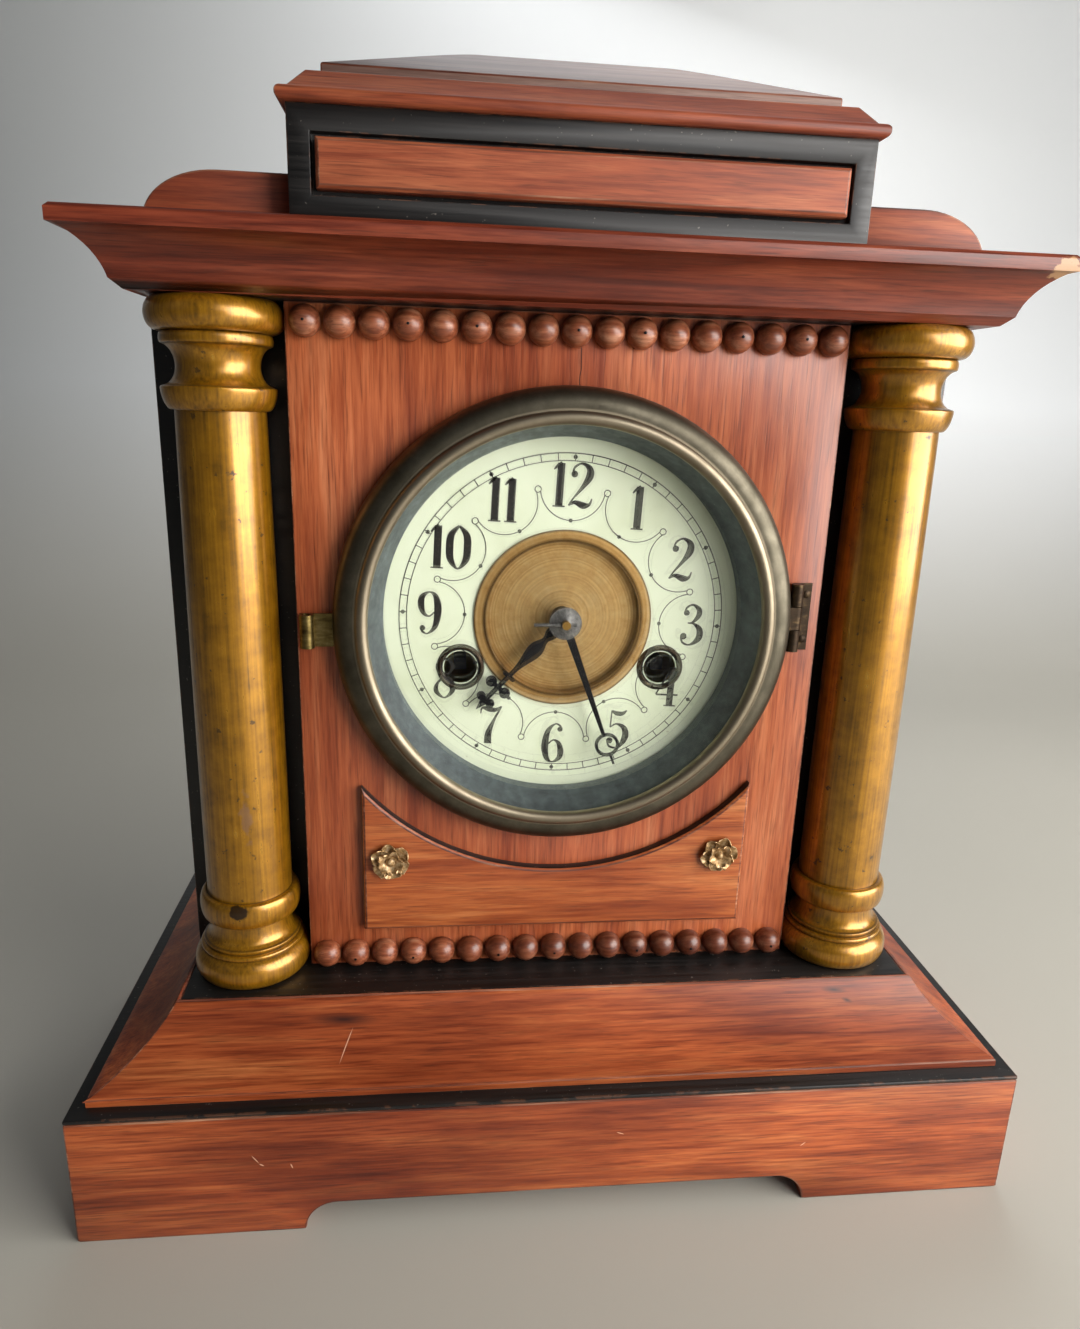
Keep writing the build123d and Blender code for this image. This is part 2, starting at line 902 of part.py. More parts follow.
# Cap: rounded lip and a slope on all four sides
attic_middle = (attic_front + attic_back) / 2
with BuildPart() as attic_cap:
    with BuildSketch(Plane.XY.offset(attic_top)):
        with Locations((0, attic_middle)):
            Rectangle(attic_width + 2 * cap_overhang, attic_depth + 2 * cap_overhang)
    extrude(amount=cap_lip)
    lip_edges = attic_cap.edges().filter_by(Axis.Z, reverse=True)
    fillet(lip_edges, cap_round)
    with BuildSketch(Plane.XY.offset(attic_top + cap_lip)):
        with Locations((0, attic_middle)):
            Rectangle(attic_width, attic_depth)
    extrude(amount=cap_ogee, taper=degrees(atan2(cap_ogee_run, cap_ogee)))
write(attic_cap, "attic_cap")

def roof_outline(middle, eave_half, ridge_half, crest_round):
    # End view of the roof: upright edge, straight slopes and a rounded crest
    eave = cap_top + roof_edge
    crest = eave + roof_rise
    run = eave_half - ridge_half
    drop = roof_rise - crest_round
    slope = atan2(drop, run) + asin(crest_round / hypot(run, drop))
    touch = ridge_half + crest_round * sin(slope)
    touch_z = crest - crest_round * (1 - cos(slope))
    half_way = ridge_half + crest_round * sin(slope / 2)
    half_way_z = crest - crest_round * (1 - cos(slope / 2))
    Polyline(
        (middle - touch, touch_z),
        (middle - eave_half, eave),
        (middle - eave_half, cap_top),
        (middle + eave_half, cap_top),
        (middle + eave_half, eave),
        (middle + touch, touch_z),
    )
    if ridge_half > 0:
        Line((middle - ridge_half, crest), (middle + ridge_half, crest))
    for way in (-1, 1):
        ThreePointArc(
            (middle + way * touch, touch_z),
            (middle + way * half_way, half_way_z),
            (middle + way * ridge_half, crest),
        )


# Roof: low hipped block with straight slopes and a rounded crest
with BuildPart() as attic_roof:
    with BuildSketch(facing(attic_back)):
        with BuildLine():
            roof_outline(0, attic_width / 2 - roof_margin, roof_ridge / 2, roof_round_long)
        make_face()
    extrude(amount=attic_depth)
    with BuildSketch(Plane.YZ.offset(-attic_width / 2)):
        with BuildLine():
            roof_outline(attic_middle, attic_depth / 2 - roof_margin, 0, roof_round_deep)
        make_face()
    extrude(amount=attic_width, mode=Mode.INTERSECT)
write(attic_roof, "attic_roof")

# Columns: turned base, shaft and capital on one axis, with tenons between them
column_axis = Axis((column_x, column_y, 0), (0, 0, 1))
foot_top = deck_top + foot_torus_height + foot_fillet_height + foot_neck_height + foot_ring_height
capital_low = (
    case_top - capital_torus_height - capital_fillet_height - capital_neck_height - capital_collar_height
)
tenon_hole = tenon_radius + tenon_clearance
tenon_depth = tenon_length + tenon_clearance


def flatten_back():
    # The wide turnings are cut flat where they stand against the front board
    add_block(
        (column_x - capital_torus, wing_face, deck_top),
        (column_x + capital_torus, wing_face + capital_torus, case_top),
        Mode.SUBTRACT,
    )


with BuildPart() as column_bases:
    with BuildSketch(facing(column_y)):
        with BuildLine():
            torus_top = deck_top + foot_torus_height
            fillet_top = torus_top + foot_fillet_height
            neck_top = fillet_top + foot_neck_height
            Polyline(
                (column_x + foot_fillet, deck_top),
                (column_x, deck_top),
                (column_x, foot_top - tenon_depth),
                (column_x + tenon_hole, foot_top - tenon_depth),
                (column_x + tenon_hole, foot_top),
                (column_x + foot_ring - ring_crown, foot_top),
            )
            ThreePointArc(
                (column_x + foot_ring - ring_crown, foot_top),
                (column_x + foot_ring, (neck_top + foot_top) / 2),
                (column_x + foot_ring - ring_crown, neck_top),
            )
            Line((column_x + foot_ring - ring_crown, neck_top), (column_x + foot_throat, neck_top))
            ThreePointArc(
                (column_x + foot_throat, neck_top),
                (column_x + (foot_throat + foot_neck) / 2 - neck_hollow, (neck_top + fillet_top) / 2),
                (column_x + foot_neck, fillet_top),
            )
            Polyline(
                (column_x + foot_neck, fillet_top),
                (column_x + foot_fillet, fillet_top),
                (column_x + foot_fillet, torus_top),
            )
            ThreePointArc(
                (column_x + foot_fillet, torus_top),
                (column_x + foot_torus, deck_top + foot_torus_height / 2),
                (column_x + foot_fillet, deck_top),
            )
        make_face()
    revolve(axis=column_axis)
    flatten_back()
    mirror(about=Plane.YZ)
write(column_bases, "column_bases")

with BuildPart() as column_shafts:
    with BuildSketch(facing(column_y)):
        with BuildLine():
            Polyline(
                (column_x, foot_top - tenon_length),
                (column_x + tenon_radius, foot_top - tenon_length),
                (column_x + tenon_radius, foot_top),
                (column_x + shaft_bottom, foot_top),
                (column_x + shaft_top, capital_low),
                (column_x + tenon_radius, capital_low),
                (column_x + tenon_radius, capital_low + tenon_length),
                (column_x, capital_low + tenon_length),
                close=True,
            )
        make_face()
    revolve(axis=column_axis)
    mirror(about=Plane.YZ)
write(column_shafts, "column_shafts")

with BuildPart() as column_capitals:
    with BuildSketch(facing(column_y)):
        with BuildLine():
            collar_top = capital_low + capital_collar_height
            scotia_top = collar_top + capital_neck_height
            torus_low = scotia_top + capital_fillet_height
            collar_taper = capital_collar - 2 * collar_draw
            Polyline(
                (column_x + capital_fillet, case_top),
                (column_x, case_top),
                (column_x, capital_low + tenon_depth),
                (column_x + tenon_hole, capital_low + tenon_depth),
                (column_x + tenon_hole, capital_low),
                (column_x + collar_taper, capital_low),
            )
            ThreePointArc(
                (column_x + collar_taper, capital_low),
                (column_x + (collar_taper + capital_collar) / 2 + collar_crown, (capital_low + collar_top) / 2),
                (column_x + capital_collar, collar_top),
            )
            Line((column_x + capital_collar, collar_top), (column_x + capital_collar - collar_draw, collar_top))
            ThreePointArc(
                (column_x + capital_collar - collar_draw, collar_top),
                (column_x + capital_neck, (collar_top + scotia_top) / 2),
                (column_x + capital_fillet - collar_draw, scotia_top),
            )
            Polyline(
                (column_x + capital_fillet - collar_draw, scotia_top),
                (column_x + capital_fillet, scotia_top),
                (column_x + capital_fillet, torus_low),
            )
            ThreePointArc(
                (column_x + capital_fillet, torus_low),
                (column_x + capital_torus, (torus_low + case_top) / 2),
                (column_x + capital_fillet, case_top),
            )
        make_face()
    revolve(axis=column_axis)
    flatten_back()
    mirror(about=Plane.YZ)
write(column_capitals, "column_capitals")

# Back board and its door
opening_low = deck_top + door_bottom
opening_high = case_top - door_top_gap
inner_half = case_half - side_board
button_at = (-door_half - button_offset, (opening_low + opening_high) / 2)
with BuildPart() as back_board:
    add_block((-inner_half, back_board_front, deck_top), (inner_half, case_back, case_top))
    add_block(
        (-door_half, back_board_front, opening_low), (door_half, case_back, opening_high), Mode.SUBTRACT
    )
    add_rod(button_at, button_pivot + button_pivot_gap, back_board_front, case_back, Mode.SUBTRACT)
write(back_board, "back_board")

with BuildPart() as back_door:
    add_block(
        (-door_half + door_clearance, back_board_front, opening_low + door_clearance),
        (door_half - door_clearance, case_back, opening_high - door_clearance),
    )
write(back_door, "back_door")

# Door hinges: two small butts with their barrels on the back
door_axis = (door_half, case_back + door_barrel + door_barrel_gap)
door_hinges = (opening_low + door_hinge_inset, opening_high - door_hinge_inset)
knuckle_half = door_leaf_length / 6
with BuildPart() as door_hinge_case_leaves:
    for middle in door_hinges:
        low, high = middle - door_leaf_length / 2, middle + door_leaf_length / 2
        leaf_back = case_back + door_leaf_sheet
        add_block((door_half, case_back, low), (door_half + door_leaf_width, leaf_back, high))
        add_post(door_axis, door_barrel, low, high)
        add_block(
            (door_half - door_leaf_width, case_back, middle - knuckle_half - hinge_knuckle_gap),
            (
                door_half + door_barrel + hinge_knuckle_gap,
                case_back + 3 * door_barrel,
                middle + knuckle_half + hinge_knuckle_gap,
            ),
            Mode.SUBTRACT,
        )
        add_post(door_axis, door_pin, low, high)
write(door_hinge_case_leaves, "door_hinge_case_leaves")

with BuildPart() as door_hinge_door_leaves:
    for middle in door_hinges:
        low, high = middle - knuckle_half, middle + knuckle_half
        leaf_end = door_half - door_barrel - hinge_knuckle_gap
        add_block(
            (door_half - door_leaf_width, case_back, middle - door_leaf_length / 2),
            (leaf_end, case_back + door_leaf_sheet, middle + door_leaf_length / 2),
        )
        add_block((leaf_end, case_back, low), (door_half, case_back + door_leaf_sheet, high))
        add_post(door_axis, door_barrel, low, high)
        add_post(door_axis, door_pin + hinge_bore_gap, low, high, Mode.SUBTRACT)
write(door_hinge_door_leaves, "door_hinge_door_leaves")

# Turn button beside the door, upright when the door is free
with BuildPart() as door_button:
    with BuildSketch(facing(case_back + button_gap + button_sheet)):
        with Locations(button_at):
            SlotOverall(2 * button_half, button_width, rotation=90)
    extrude(amount=button_sheet)
    add_rod(button_at, button_pivot, back_board_front, case_back + button_gap + button_sheet)
write(door_button, "door_button")

# Bezel ring: rounded brass rim with a bright inner lip
dial_axis = Axis((0, 0, dial_z), (0, 1, 0))
bezel_back = panel_face - pan_sheet - bezel_gap
shoulder_y = bezel_back - bezel_rise
glass_front = shoulder_y + bezel_lip_width / 8
glass_back = glass_front + glass_thickness
with BuildPart() as bezel_ring:
    with BuildSketch(Plane.XY.offset(dial_z)):
        with BuildLine():
            rim_y = bezel_back - bezel_rim
            lip_out = bezel_lip_radius + bezel_lip_width / 2
            lip_in = bezel_lip_radius - bezel_lip_width / 2
            Polyline(
                (lip_in, shoulder_y),
                (lip_in, glass_front),
                (glass_seat, glass_front),
                (glass_seat, bezel_back),
                (bezel_radius, bezel_back),
                (bezel_radius, rim_y),
            )
            ThreePointArc(
                (bezel_radius, rim_y),
                (
                    bezel_shoulder + bezel_round_out * bezel_flank,
                    rim_y + bezel_round_up * (shoulder_y - rim_y),
                ),
                (bezel_shoulder, shoulder_y),
            )
            Line((bezel_shoulder, shoulder_y), (lip_out, shoulder_y))
            ThreePointArc(
                (lip_out, shoulder_y), (bezel_lip_radius, shoulder_y - bezel_lip_rise), (lip_in, shoulder_y)
            )
        make_face()
    revolve(axis=dial_axis)
write(bezel_ring, "bezel_ring")

glass_radius = glass_seat - glass_clearance
with BuildPart() as bezel_glass:
    add_rod(dial_centre_point, glass_radius, glass_front, glass_back)
write(bezel_glass, "bezel_glass")

# Sight ring: the sloped collar between the glass and the dial
with BuildPart() as bezel_sight_ring:
    with BuildSketch(Plane.XY.offset(dial_z)):
        with BuildLine():
            sight_end = dial_face - sight_gap
            Polyline(
                (glass_radius, glass_back),
                (glass_radius - sight_wall, glass_back),
                (sight_inner, sight_end),
                (sight_inner + sight_wall, sight_end),
                close=True,
            )
        make_face()
    revolve(axis=dial_axis)
write(bezel_sight_ring, "bezel_sight_ring")

# Bezel hinge: panel leaf with the pin, bezel leaf with the middle knuckle
hinge_axis = (bezel_radius + hinge_clear + hinge_barrel, panel_face - hinge_barrel - hinge_knuckle_gap)
hinge_low = dial_z + hinge_rise - hinge_length / 2
hinge_high = hinge_low + hinge_length
knuckle_low = hinge_low + hinge_length / 3
knuckle_high = hinge_high - hinge_length / 3
with BuildPart() as panel_hinge_leaf:
    add_block(
        (hinge_axis[0], panel_face - hinge_leaf_sheet, hinge_low),
        (hinge_axis[0] + hinge_leaf_width, panel_face, hinge_high),
    )
    add_post(hinge_axis, hinge_barrel, hinge_low, hinge_high)
    add_block(
        (hinge_axis[0] - hinge_leaf_width, panel_face - hinge_leaf_width, knuckle_low - hinge_knuckle_gap),
        (hinge_axis[0] + hinge_barrel + hinge_knuckle_gap, panel_face, knuckle_high + hinge_knuckle_gap),
        Mode.SUBTRACT,
    )
    add_post(hinge_axis, hinge_pin, hinge_low, hinge_high)
write(panel_hinge_leaf, "panel_hinge_leaf")

with BuildPart() as bezel_hinge_leaf:
    add_post(hinge_axis, hinge_barrel, knuckle_low, knuckle_high)
    add_block(
        (bezel_radius - hinge_leaf_width / 2, hinge_axis[1] - hinge_barrel, knuckle_low),
        (hinge_axis[0], hinge_axis[1] - hinge_barrel + hinge_leaf_sheet, knuckle_high),
    )
    add_post(hinge_axis, hinge_pin + hinge_bore_gap, knuckle_low, knuckle_high, Mode.SUBTRACT)
    add(bezel_ring.part, mode=Mode.SUBTRACT)
write(bezel_hinge_leaf, "bezel_hinge_leaf")

# Finger tab: a strip soldered to the rim, rolled at its outer end
with BuildPart() as bezel_tab:
    tab_low = dial_z - tab_drop - tab_height / 2
    tab_high = tab_low + tab_height
    tab_end = -bezel_radius - tab_reach
    tab_back = bezel_back - bezel_rim / 2
    add_block((tab_end, tab_back - tab_sheet, tab_low), (-bezel_radius + tab_curl, tab_back, tab_high))
    curl_at = (tab_end + tab_curl, tab_back - tab_curl)
    add_post(curl_at, tab_curl, tab_low, tab_high)
    add_post(curl_at, tab_curl - tab_sheet, tab_low, tab_high, Mode.SUBTRACT)
    add(bezel_ring.part, mode=Mode.SUBTRACT)
write(bezel_tab, "bezel_tab")

# Dial pan, dial and its brass centre
pan_outer = panel_hole - pan_clearance
pan_inner = pan_outer - pan_sheet
dial_back = dial_face + dial_sheet
with BuildPart() as dial_pan:
    with BuildSketch(Plane.XY.offset(dial_z)):
        with BuildLine():
            Polyline(
                (pan_inner, panel_face - pan_sheet),
                (bezel_radius - flange_inset, panel_face - pan_sheet),
                (bezel_radius - flange_inset, panel_face),
                (pan_outer, panel_face),
                (pan_outer, dial_back + pan_sheet),
                (sight_inner - pan_floor_lap, dial_back + pan_sheet),
                (sight_inner - pan_floor_lap, dial_back),
                (pan_inner, dial_back),
                close=True,
            )
        make_face()
    revolve(axis=dial_axis)
write(dial_pan, "dial_pan")

time_arbor_at = (winding_x, dial_z - winding_drop)
strike_arbor_at = (-winding_x, dial_z - winding_drop)
with BuildPart() as dial_plate:
    add_rod(dial_centre_point, pan_inner - dial_clearance, dial_face, dial_back)
    add_rod(dial_centre_point, centre_dish, dial_face, dial_back, Mode.SUBTRACT)
    for hole in (time_arbor_at, strike_arbor_at):
        add_rod(hole, winding_hole, dial_face, dial_back, Mode.SUBTRACT)
write(dial_plate, "dial_plate")

pipe_outer = cannon_tube + hand_pipe_gap + hand_pipe_wall
with BuildPart() as dial_centre:
    with BuildSketch(Plane.XY.offset(dial_z)):
        with BuildLine():
            dish_wall = centre_dish - dial_clearance
            dish_front = dial_face - centre_sheet
            dish_floor = dial_face + centre_depth
            Polyline(
                (dish_wall - centre_sheet, dish_front),
                (centre_rim, dish_front),
                (centre_rim, dial_face),
                (dish_wall, dial_face),
                (dish_wall, dish_floor + centre_sheet),
                (pipe_outer + dish_pipe_gap, dish_floor + centre_sheet),
                (pipe_outer + dish_pipe_gap, dish_floor),
                (dish_wall - centre_sheet, dish_floor),
                close=True,
            )
        make_face()
    revolve(axis=dial_axis)
write(dial_centre, "dial_centre")

# Hands, set at the time that the dial shows
hour_back = dial_face - hour_hand_gap
hour_front = hour_back - hand_sheet
minute_back = hour_front - hand_step
minute_front = minute_back - hand_sheet


def hand_plane(depth, angle):
    # Plane at this depth whose local x runs along the hand, clockwise from twelve
    return Plane(
        origin=(0, depth, dial_z), x_dir=(sin(radians(angle)), 0, cos(radians(angle))), z_dir=(0, -1, 0)
    )


with BuildPart() as hour_hand:
    with BuildSketch(hand_plane(hour_back, hour_hand_angle)):
        Circle(hand_boss)
        with BuildLine():
            upper = Spline(*hour_profile)
            lower = Spline(*[(along, -half) for along, half in hour_profile])
            Line(upper @ 0, lower @ 0)
            Line(upper @ 1, lower @ 1)
        make_face()
        stem_from = hour_profile[-1][0]
        with Locations((stem_from, 0)):
            SlotOverall(hour_collar, hour_stem, rotation=90)
            Rectangle(hour_tip_from - stem_from, hour_stem, align=(Align.MIN, Align.CENTER))
        for along, aside, lobe in hour_lobes:
            with Locations((along, aside), (along, -aside)):
                Circle(lobe)
            with Locations((along, 0)):
                Rectangle(hour_stem, 2 * aside)
        with BuildLine():
            Polyline(
                (hour_tip_from, hour_stem), (hour_hand_length, 0), (hour_tip_from, -hour_stem), close=True
            )
        make_face()
        Circle(pipe_outer + hand_fit, mode=Mode.SUBTRACT)
    extrude(amount=hand_sheet)
write(hour_hand, "hour_hand")

with BuildPart() as minute_hand:
    with BuildSketch(hand_plane(minute_back, minute_hand_angle)):
        Circle(hand_boss)
        with BuildLine():
            Polyline(
                (0, minute_root),
                (minute_hand_length, minute_point),
                (minute_hand_length, -minute_point),
                (0, -minute_root),
                close=True,
            )
        make_face()
        with Locations((minute_hand_length - ring_inset, 0)):
            Circle(ring_outer)
            Circle(ring_inner, mode=Mode.SUBTRACT)
        Circle(centre_arbor_radius + hand_fit, mode=Mode.SUBTRACT)
    extrude(amount=hand_sheet)
write(minute_hand, "minute_hand")

# Collet and taper pin that hold the minute hand
pin_y = minute_front - collet_rise - collet_foot - pin_radius
with BuildPart() as hand_pin:
    with BuildSketch(Plane.XY.offset(dial_z)):
        with BuildLine():
            Polyline(
                (centre_arbor_radius + hand_fit, minute_front - collet_rise - collet_foot),
                (centre_arbor_radius + hand_fit, minute_front),
                (collet_radius, minute_front),
                (collet_radius, minute_front - collet_foot),
            )
            RadiusArc(
                (collet_radius, minute_front - collet_foot),
                (centre_arbor_radius + hand_fit, minute_front - collet_rise - collet_foot),
                -2 * collet_radius,
            )
        make_face()
    revolve(axis=dial_axis)
    with BuildSketch(Plane.YZ.offset(-pin_length * pin_share)):
        with Locations((pin_y, dial_z)):
            Circle(pin_radius)
    extrude(amount=pin_length)
write(hand_pin, "hand_pin")

# Wheel centres, from the centre distances and bearings
great_reach = great_module * (great_teeth + great_pinion_teeth) / 2
second_reach = second_module * (second_teeth + second_pinion_teeth) / 2
third_reach = third_module * (centre_teeth + third_pinion_teeth) / 2
escape_reach = escape_module * (third_teeth + escape_pinion_teeth) / 2
motion_reach = motion_module * (cannon_teeth + minute_teeth) / 2
warning_reach = strike_module * (strike_teeth + warning_pinion_teeth) / 2
fly_reach = fly_module * (warning_teeth + fly_pinion_teeth) / 2
centre_at = (0, dial_z)
second_at = crossing(centre_at, second_reach, time_arbor_at, great_reach)
third_at = at_bearing(centre_at, third_reach, third_bearing)
escape_at = at_bearing(third_at, escape_reach, escape_bearing)
verge_at = (escape_at[0], escape_at[1] + verge_rise)
stud_at = (0, dial_z - motion_reach)
strike_at = at_bearing(strike_arbor_at, great_reach, strike_bearing)
warning_at = at_bearing(strike_at, warning_reach, warning_bearing)
fly_at = at_bearing(warning_at, fly_reach, fly_bearing)
hammer_at = at_bearing(strike_at, hammer_reach, hammer_bearing)

# Depths of the wheels' front faces and of their middles
great_y = plate_inner + great_depth
second_y = plate_inner + second_depth
centre_y = plate_inner + centre_depth_in
third_y = plate_inner + third_depth
escape_y = plate_inner + escape_depth
warning_y = plate_inner + warning_depth
minute_wheel_y = plate_front - minute_wheel_gap - wheel_sheet
hour_wheel_y = minute_wheel_y - hour_wheel_gap
half_sheet = wheel_sheet / 2

# Plates, with a running fit for each pivot
pivots = (second_at, third_at, escape_at, verge_at, strike_at, warning_at, fly_at)
plate_low = dial_z - plate_drop
plate_high = dial_z + plate_reach
plate_half = plate_edge - hammer_at[0]
pillar_x = plate_half - pillar_inset


def add_pivot_holes(front, back):
    for place in pivots:
        add_rod(place, pivot_radius + pivot_clearance, front, back, Mode.SUBTRACT)
    for place in (time_arbor_at, strike_arbor_at):
        add_rod(place, winding_arbor + pivot_clearance, front, back, Mode.SUBTRACT)
    add_rod(centre_at, centre_arbor_radius + pivot_clearance, front, back, Mode.SUBTRACT)
    add_rod(hammer_at, hammer_arbor + pivot_clearance, front, back, Mode.SUBTRACT)


with BuildPart() as front_plate:
    add_block((-plate_half, plate_front, plate_low), (plate_half, plate_inner, plate_high))
    fillet(front_plate.edges().filter_by(Axis.Y), plate_corner)
    for ear in (dial_z - ear_drop, dial_z + ear_rise):
        ear_end = plate_half + ear_reach
        add_block((-ear_end, plate_front, ear - ear_height / 2), (ear_end, plate_inner, ear + ear_height / 2))
        for side in (-1, 1):
            add_rod((side * (plate_half + ear_reach / 2), ear), ear_foot, board_back, plate_front)
    add_rod(stud_at, stud_radius, hour_wheel_y - arbor_clear, plate_front)
    add_pivot_holes(plate_front, plate_inner)
write(front_plate, "front_plate")

with BuildPart() as back_plate:
    add_block((-plate_half, back_plate_front, plate_low), (plate_half, back_plate_back, plate_high))
    fillet(back_plate.edges().filter_by(Axis.Y), plate_corner)
    leg_back = pendulum_y - eye_thickness / 2 - cock_leg_gap
    cock_left = verge_at[0] - cock_width / 2
    cock_right = verge_at[0] + cock_width / 2
    add_block((cock_left, back_plate_front, verge_at[1] + cock_rise), (cock_right, leg_back, plate_high))
    add_block(
        (cock_left, leg_back - cock_sheet, verge_at[1] - cock_rise), (cock_right, leg_back, plate_high)
    )
    add_rod(verge_at, suspension_pin, leg_back, pendulum_y + eye_thickness)
    add_pivot_holes(back_plate_front, back_plate_back)
write(back_plate, "back_plate")

with BuildPart() as plate_pillars:
    for side in (-pillar_x, pillar_x):
        for level in (dial_z - pillar_drop, dial_z + pillar_rise):
            add_rod((side, level), pillar_radius, plate_inner, back_plate_front)
write(plate_pillars, "plate_pillars")

# Mainsprings: open loops on the winding arbors, each held by a lower pillar
with BuildPart() as mainsprings:
    pillar_at = (pillar_x, dial_z - pillar_drop)
    outer_turn = spring_inner + (spring_halves - 1) * spring_pitch / 2
    pillar_reach = hypot(pillar_at[0] - time_arbor_at[0], pillar_at[1] - time_arbor_at[1])
    strip_side = outer_turn + pillar_radius + spring_pillar_gap + spring_strip / 2
    swing = degrees(acos(strip_side / pillar_reach))
    tail_bearing = bearing_to(time_arbor_at, pillar_at) - swing
    tail = pillar_reach * sin(radians(swing)) + spring_hook
    add_strip(
        time_arbor_at,
        spring_inner,
        spring_pitch,
        spring_halves,
        tail_bearing - 180 * spring_halves,
        spring_strip,
        tail,
        plate_inner + spring_depth,
        spring_width,
    )
    mirror(about=Plane.YZ)
write(mainsprings, "mainsprings")
print("mainspring gap", round(least_gap(spring_inner, spring_pitch, spring_halves, spring_strip), 2))


def add_winding_arbor(centre):
    # Squared front end, ratchet wheel and the hub inside the spring
    square_tip = dial_face + winding_tip_gap
    add_rod(centre, winding_arbor, plate_front - arbor_clear, back_plate_back + pivot_stub)
    with Locations((centre[0], (square_tip + plate_front - arbor_clear) / 2, centre[1])):
        Box(winding_square, plate_front - arbor_clear - square_tip, winding_square)
    root = ratchet_radius - ratchet_tooth
    points = tooth_points(centre, ratchet_teeth, 0, ((root, 0), (ratchet_radius, ratchet_lean)))
    ratchet_y = plate_inner + ratchet_depth
    with BuildSketch(facing(ratchet_y + ratchet_sheet)) as ratchet:
        with BuildLine():
            Polyline(*points, close=True)
        make_face()
    extrude(ratchet.sketch, amount=ratchet_sheet)
    add_rod(centre, winding_hub, ratchet_y, plate_inner + spring_depth + spring_width)


with BuildPart() as time_winding_arbor:
    add_winding_arbor(time_arbor_at)
write(time_winding_arbor, "time_winding_arbor")

with BuildPart() as strike_winding_arbor:
    add_winding_arbor(strike_arbor_at)
write(strike_winding_arbor, "strike_winding_arbor")

# Great wheels, free on their winding arbors
great_phase = 0
great_bore = winding_arbor + pivot_clearance
great_hub = 2 * winding_hub


def add_great_wheel(at):
    add_wheel(at, great_teeth, great_module, great_phase, great_y, great_sheet, great_spokes, great_hub)
    add_rod(at, great_bore, great_y, great_y + great_sheet, Mode.SUBTRACT)


with BuildPart() as time_great_wheel:
    add_great_wheel(time_arbor_at)
write(time_great_wheel, "time_great_wheel")

with BuildPart() as strike_great_wheel:
    add_great_wheel(strike_arbor_at)
write(strike_great_wheel, "strike_great_wheel")

# Going train: each pinion is turned so that its leaves stand between the driving teeth
great_middle = great_y + great_sheet / 2
with BuildPart() as second_wheel:
    add_arbor(second_at)
    phase = meshed_phase(great_teeth, great_phase, great_pinion_teeth, bearing_to(time_arbor_at, second_at))
    add_pinion(second_at, great_pinion_teeth, great_module, phase, great_middle)
    add_wheel(second_at, second_teeth, second_module, 0, second_y, wheel_sheet, wheel_spokes)
write(second_wheel, "second_wheel")

with BuildPart() as centre_wheel:
    tip_y = pin_y - arbor_tip
    add_rod(centre_at, centre_arbor_radius, tip_y, back_plate_back + pivot_stub)
    add_rod(centre_at, cannon_tube, minute_back, plate_front - arbor_clear)
    phase = meshed_phase(second_teeth, 0, second_pinion_teeth, bearing_to(second_at, centre_at))
    add_pinion(centre_at, second_pinion_teeth, second_module, phase, second_y + half_sheet)
    add_wheel(centre_at, centre_teeth, third_module, 0, centre_y, wheel_sheet, wheel_spokes)
    add_pinion(centre_at, cannon_teeth, motion_module, 0, plate_front - arbor_clear - pinion_length / 2)
    with BuildSketch(Plane.YZ.offset(-cannon_tube)) as pin_hole:
        with Locations((pin_y, dial_z)):
            Circle(pin_radius + hand_fit)
    extrude(pin_hole.sketch, amount=2 * cannon_tube, mode=Mode.SUBTRACT)
write(centre_wheel, "centre_wheel")

with BuildPart() as third_wheel:
    add_arbor(third_at)
    phase = meshed_phase(centre_teeth, 0, third_pinion_teeth, bearing_to(centre_at, third_at))
    add_pinion(third_at, third_pinion_teeth, third_module, phase, centre_y + half_sheet)
    add_wheel(third_at, third_teeth, escape_module, 0, third_y, wheel_sheet, wheel_spokes)
write(third_wheel, "third_wheel")

with BuildPart() as escape_wheel:
    add_arbor(escape_at)
    phase = meshed_phase(third_teeth, 0, escape_pinion_teeth, bearing_to(third_at, escape_at))
    add_pinion(escape_at, escape_pinion_teeth, escape_module, phase, third_y + half_sheet)
    root = escape_radius - escape_tooth
    rim = escape_radius * escape_rim
    corners = ((root, -escape_lean), (escape_radius, 0), (root, escape_back))
    points = tooth_points(escape_at, escape_teeth, 0, corners)
    add_toothed(points, escape_at, rim, hub_radius, wheel_spokes, escape_y, wheel_sheet)
write(escape_wheel, "escape_wheel")

# Motion work between the front plate and the dial
with BuildPart() as minute_wheel:
    phase = meshed_phase(cannon_teeth, 0, minute_teeth, bearing_to(centre_at, stud_at))
    add_wheel(stud_at, minute_teeth, motion_module, phase, minute_wheel_y, wheel_sheet, wheel_spokes)
    leaf_length = hour_wheel_gap + arbor_clear
    add_pinion(stud_at, minute_pinion_teeth, motion_module, 0, minute_wheel_y - leaf_length / 2, leaf_length)
    add_rod(stud_at, stud_radius + pivot_clearance, minute_wheel_y - leaf_length, plate_front, Mode.SUBTRACT)
write(minute_wheel, "minute_wheel")

with BuildPart() as hour_wheel:
    phase = meshed_phase(minute_pinion_teeth, 0, hour_teeth, bearing_to(stud_at, centre_at))
    hub = 2 * cannon_tube
    add_wheel(centre_at, hour_teeth, motion_module, phase, hour_wheel_y, wheel_sheet, wheel_spokes, hub)
    add_rod(centre_at, pipe_outer, hour_front, hour_wheel_y)
    add_rod(centre_at, cannon_tube + hand_pipe_gap, hour_front, hour_wheel_y + wheel_sheet, Mode.SUBTRACT)
write(hour_wheel, "hour_wheel")

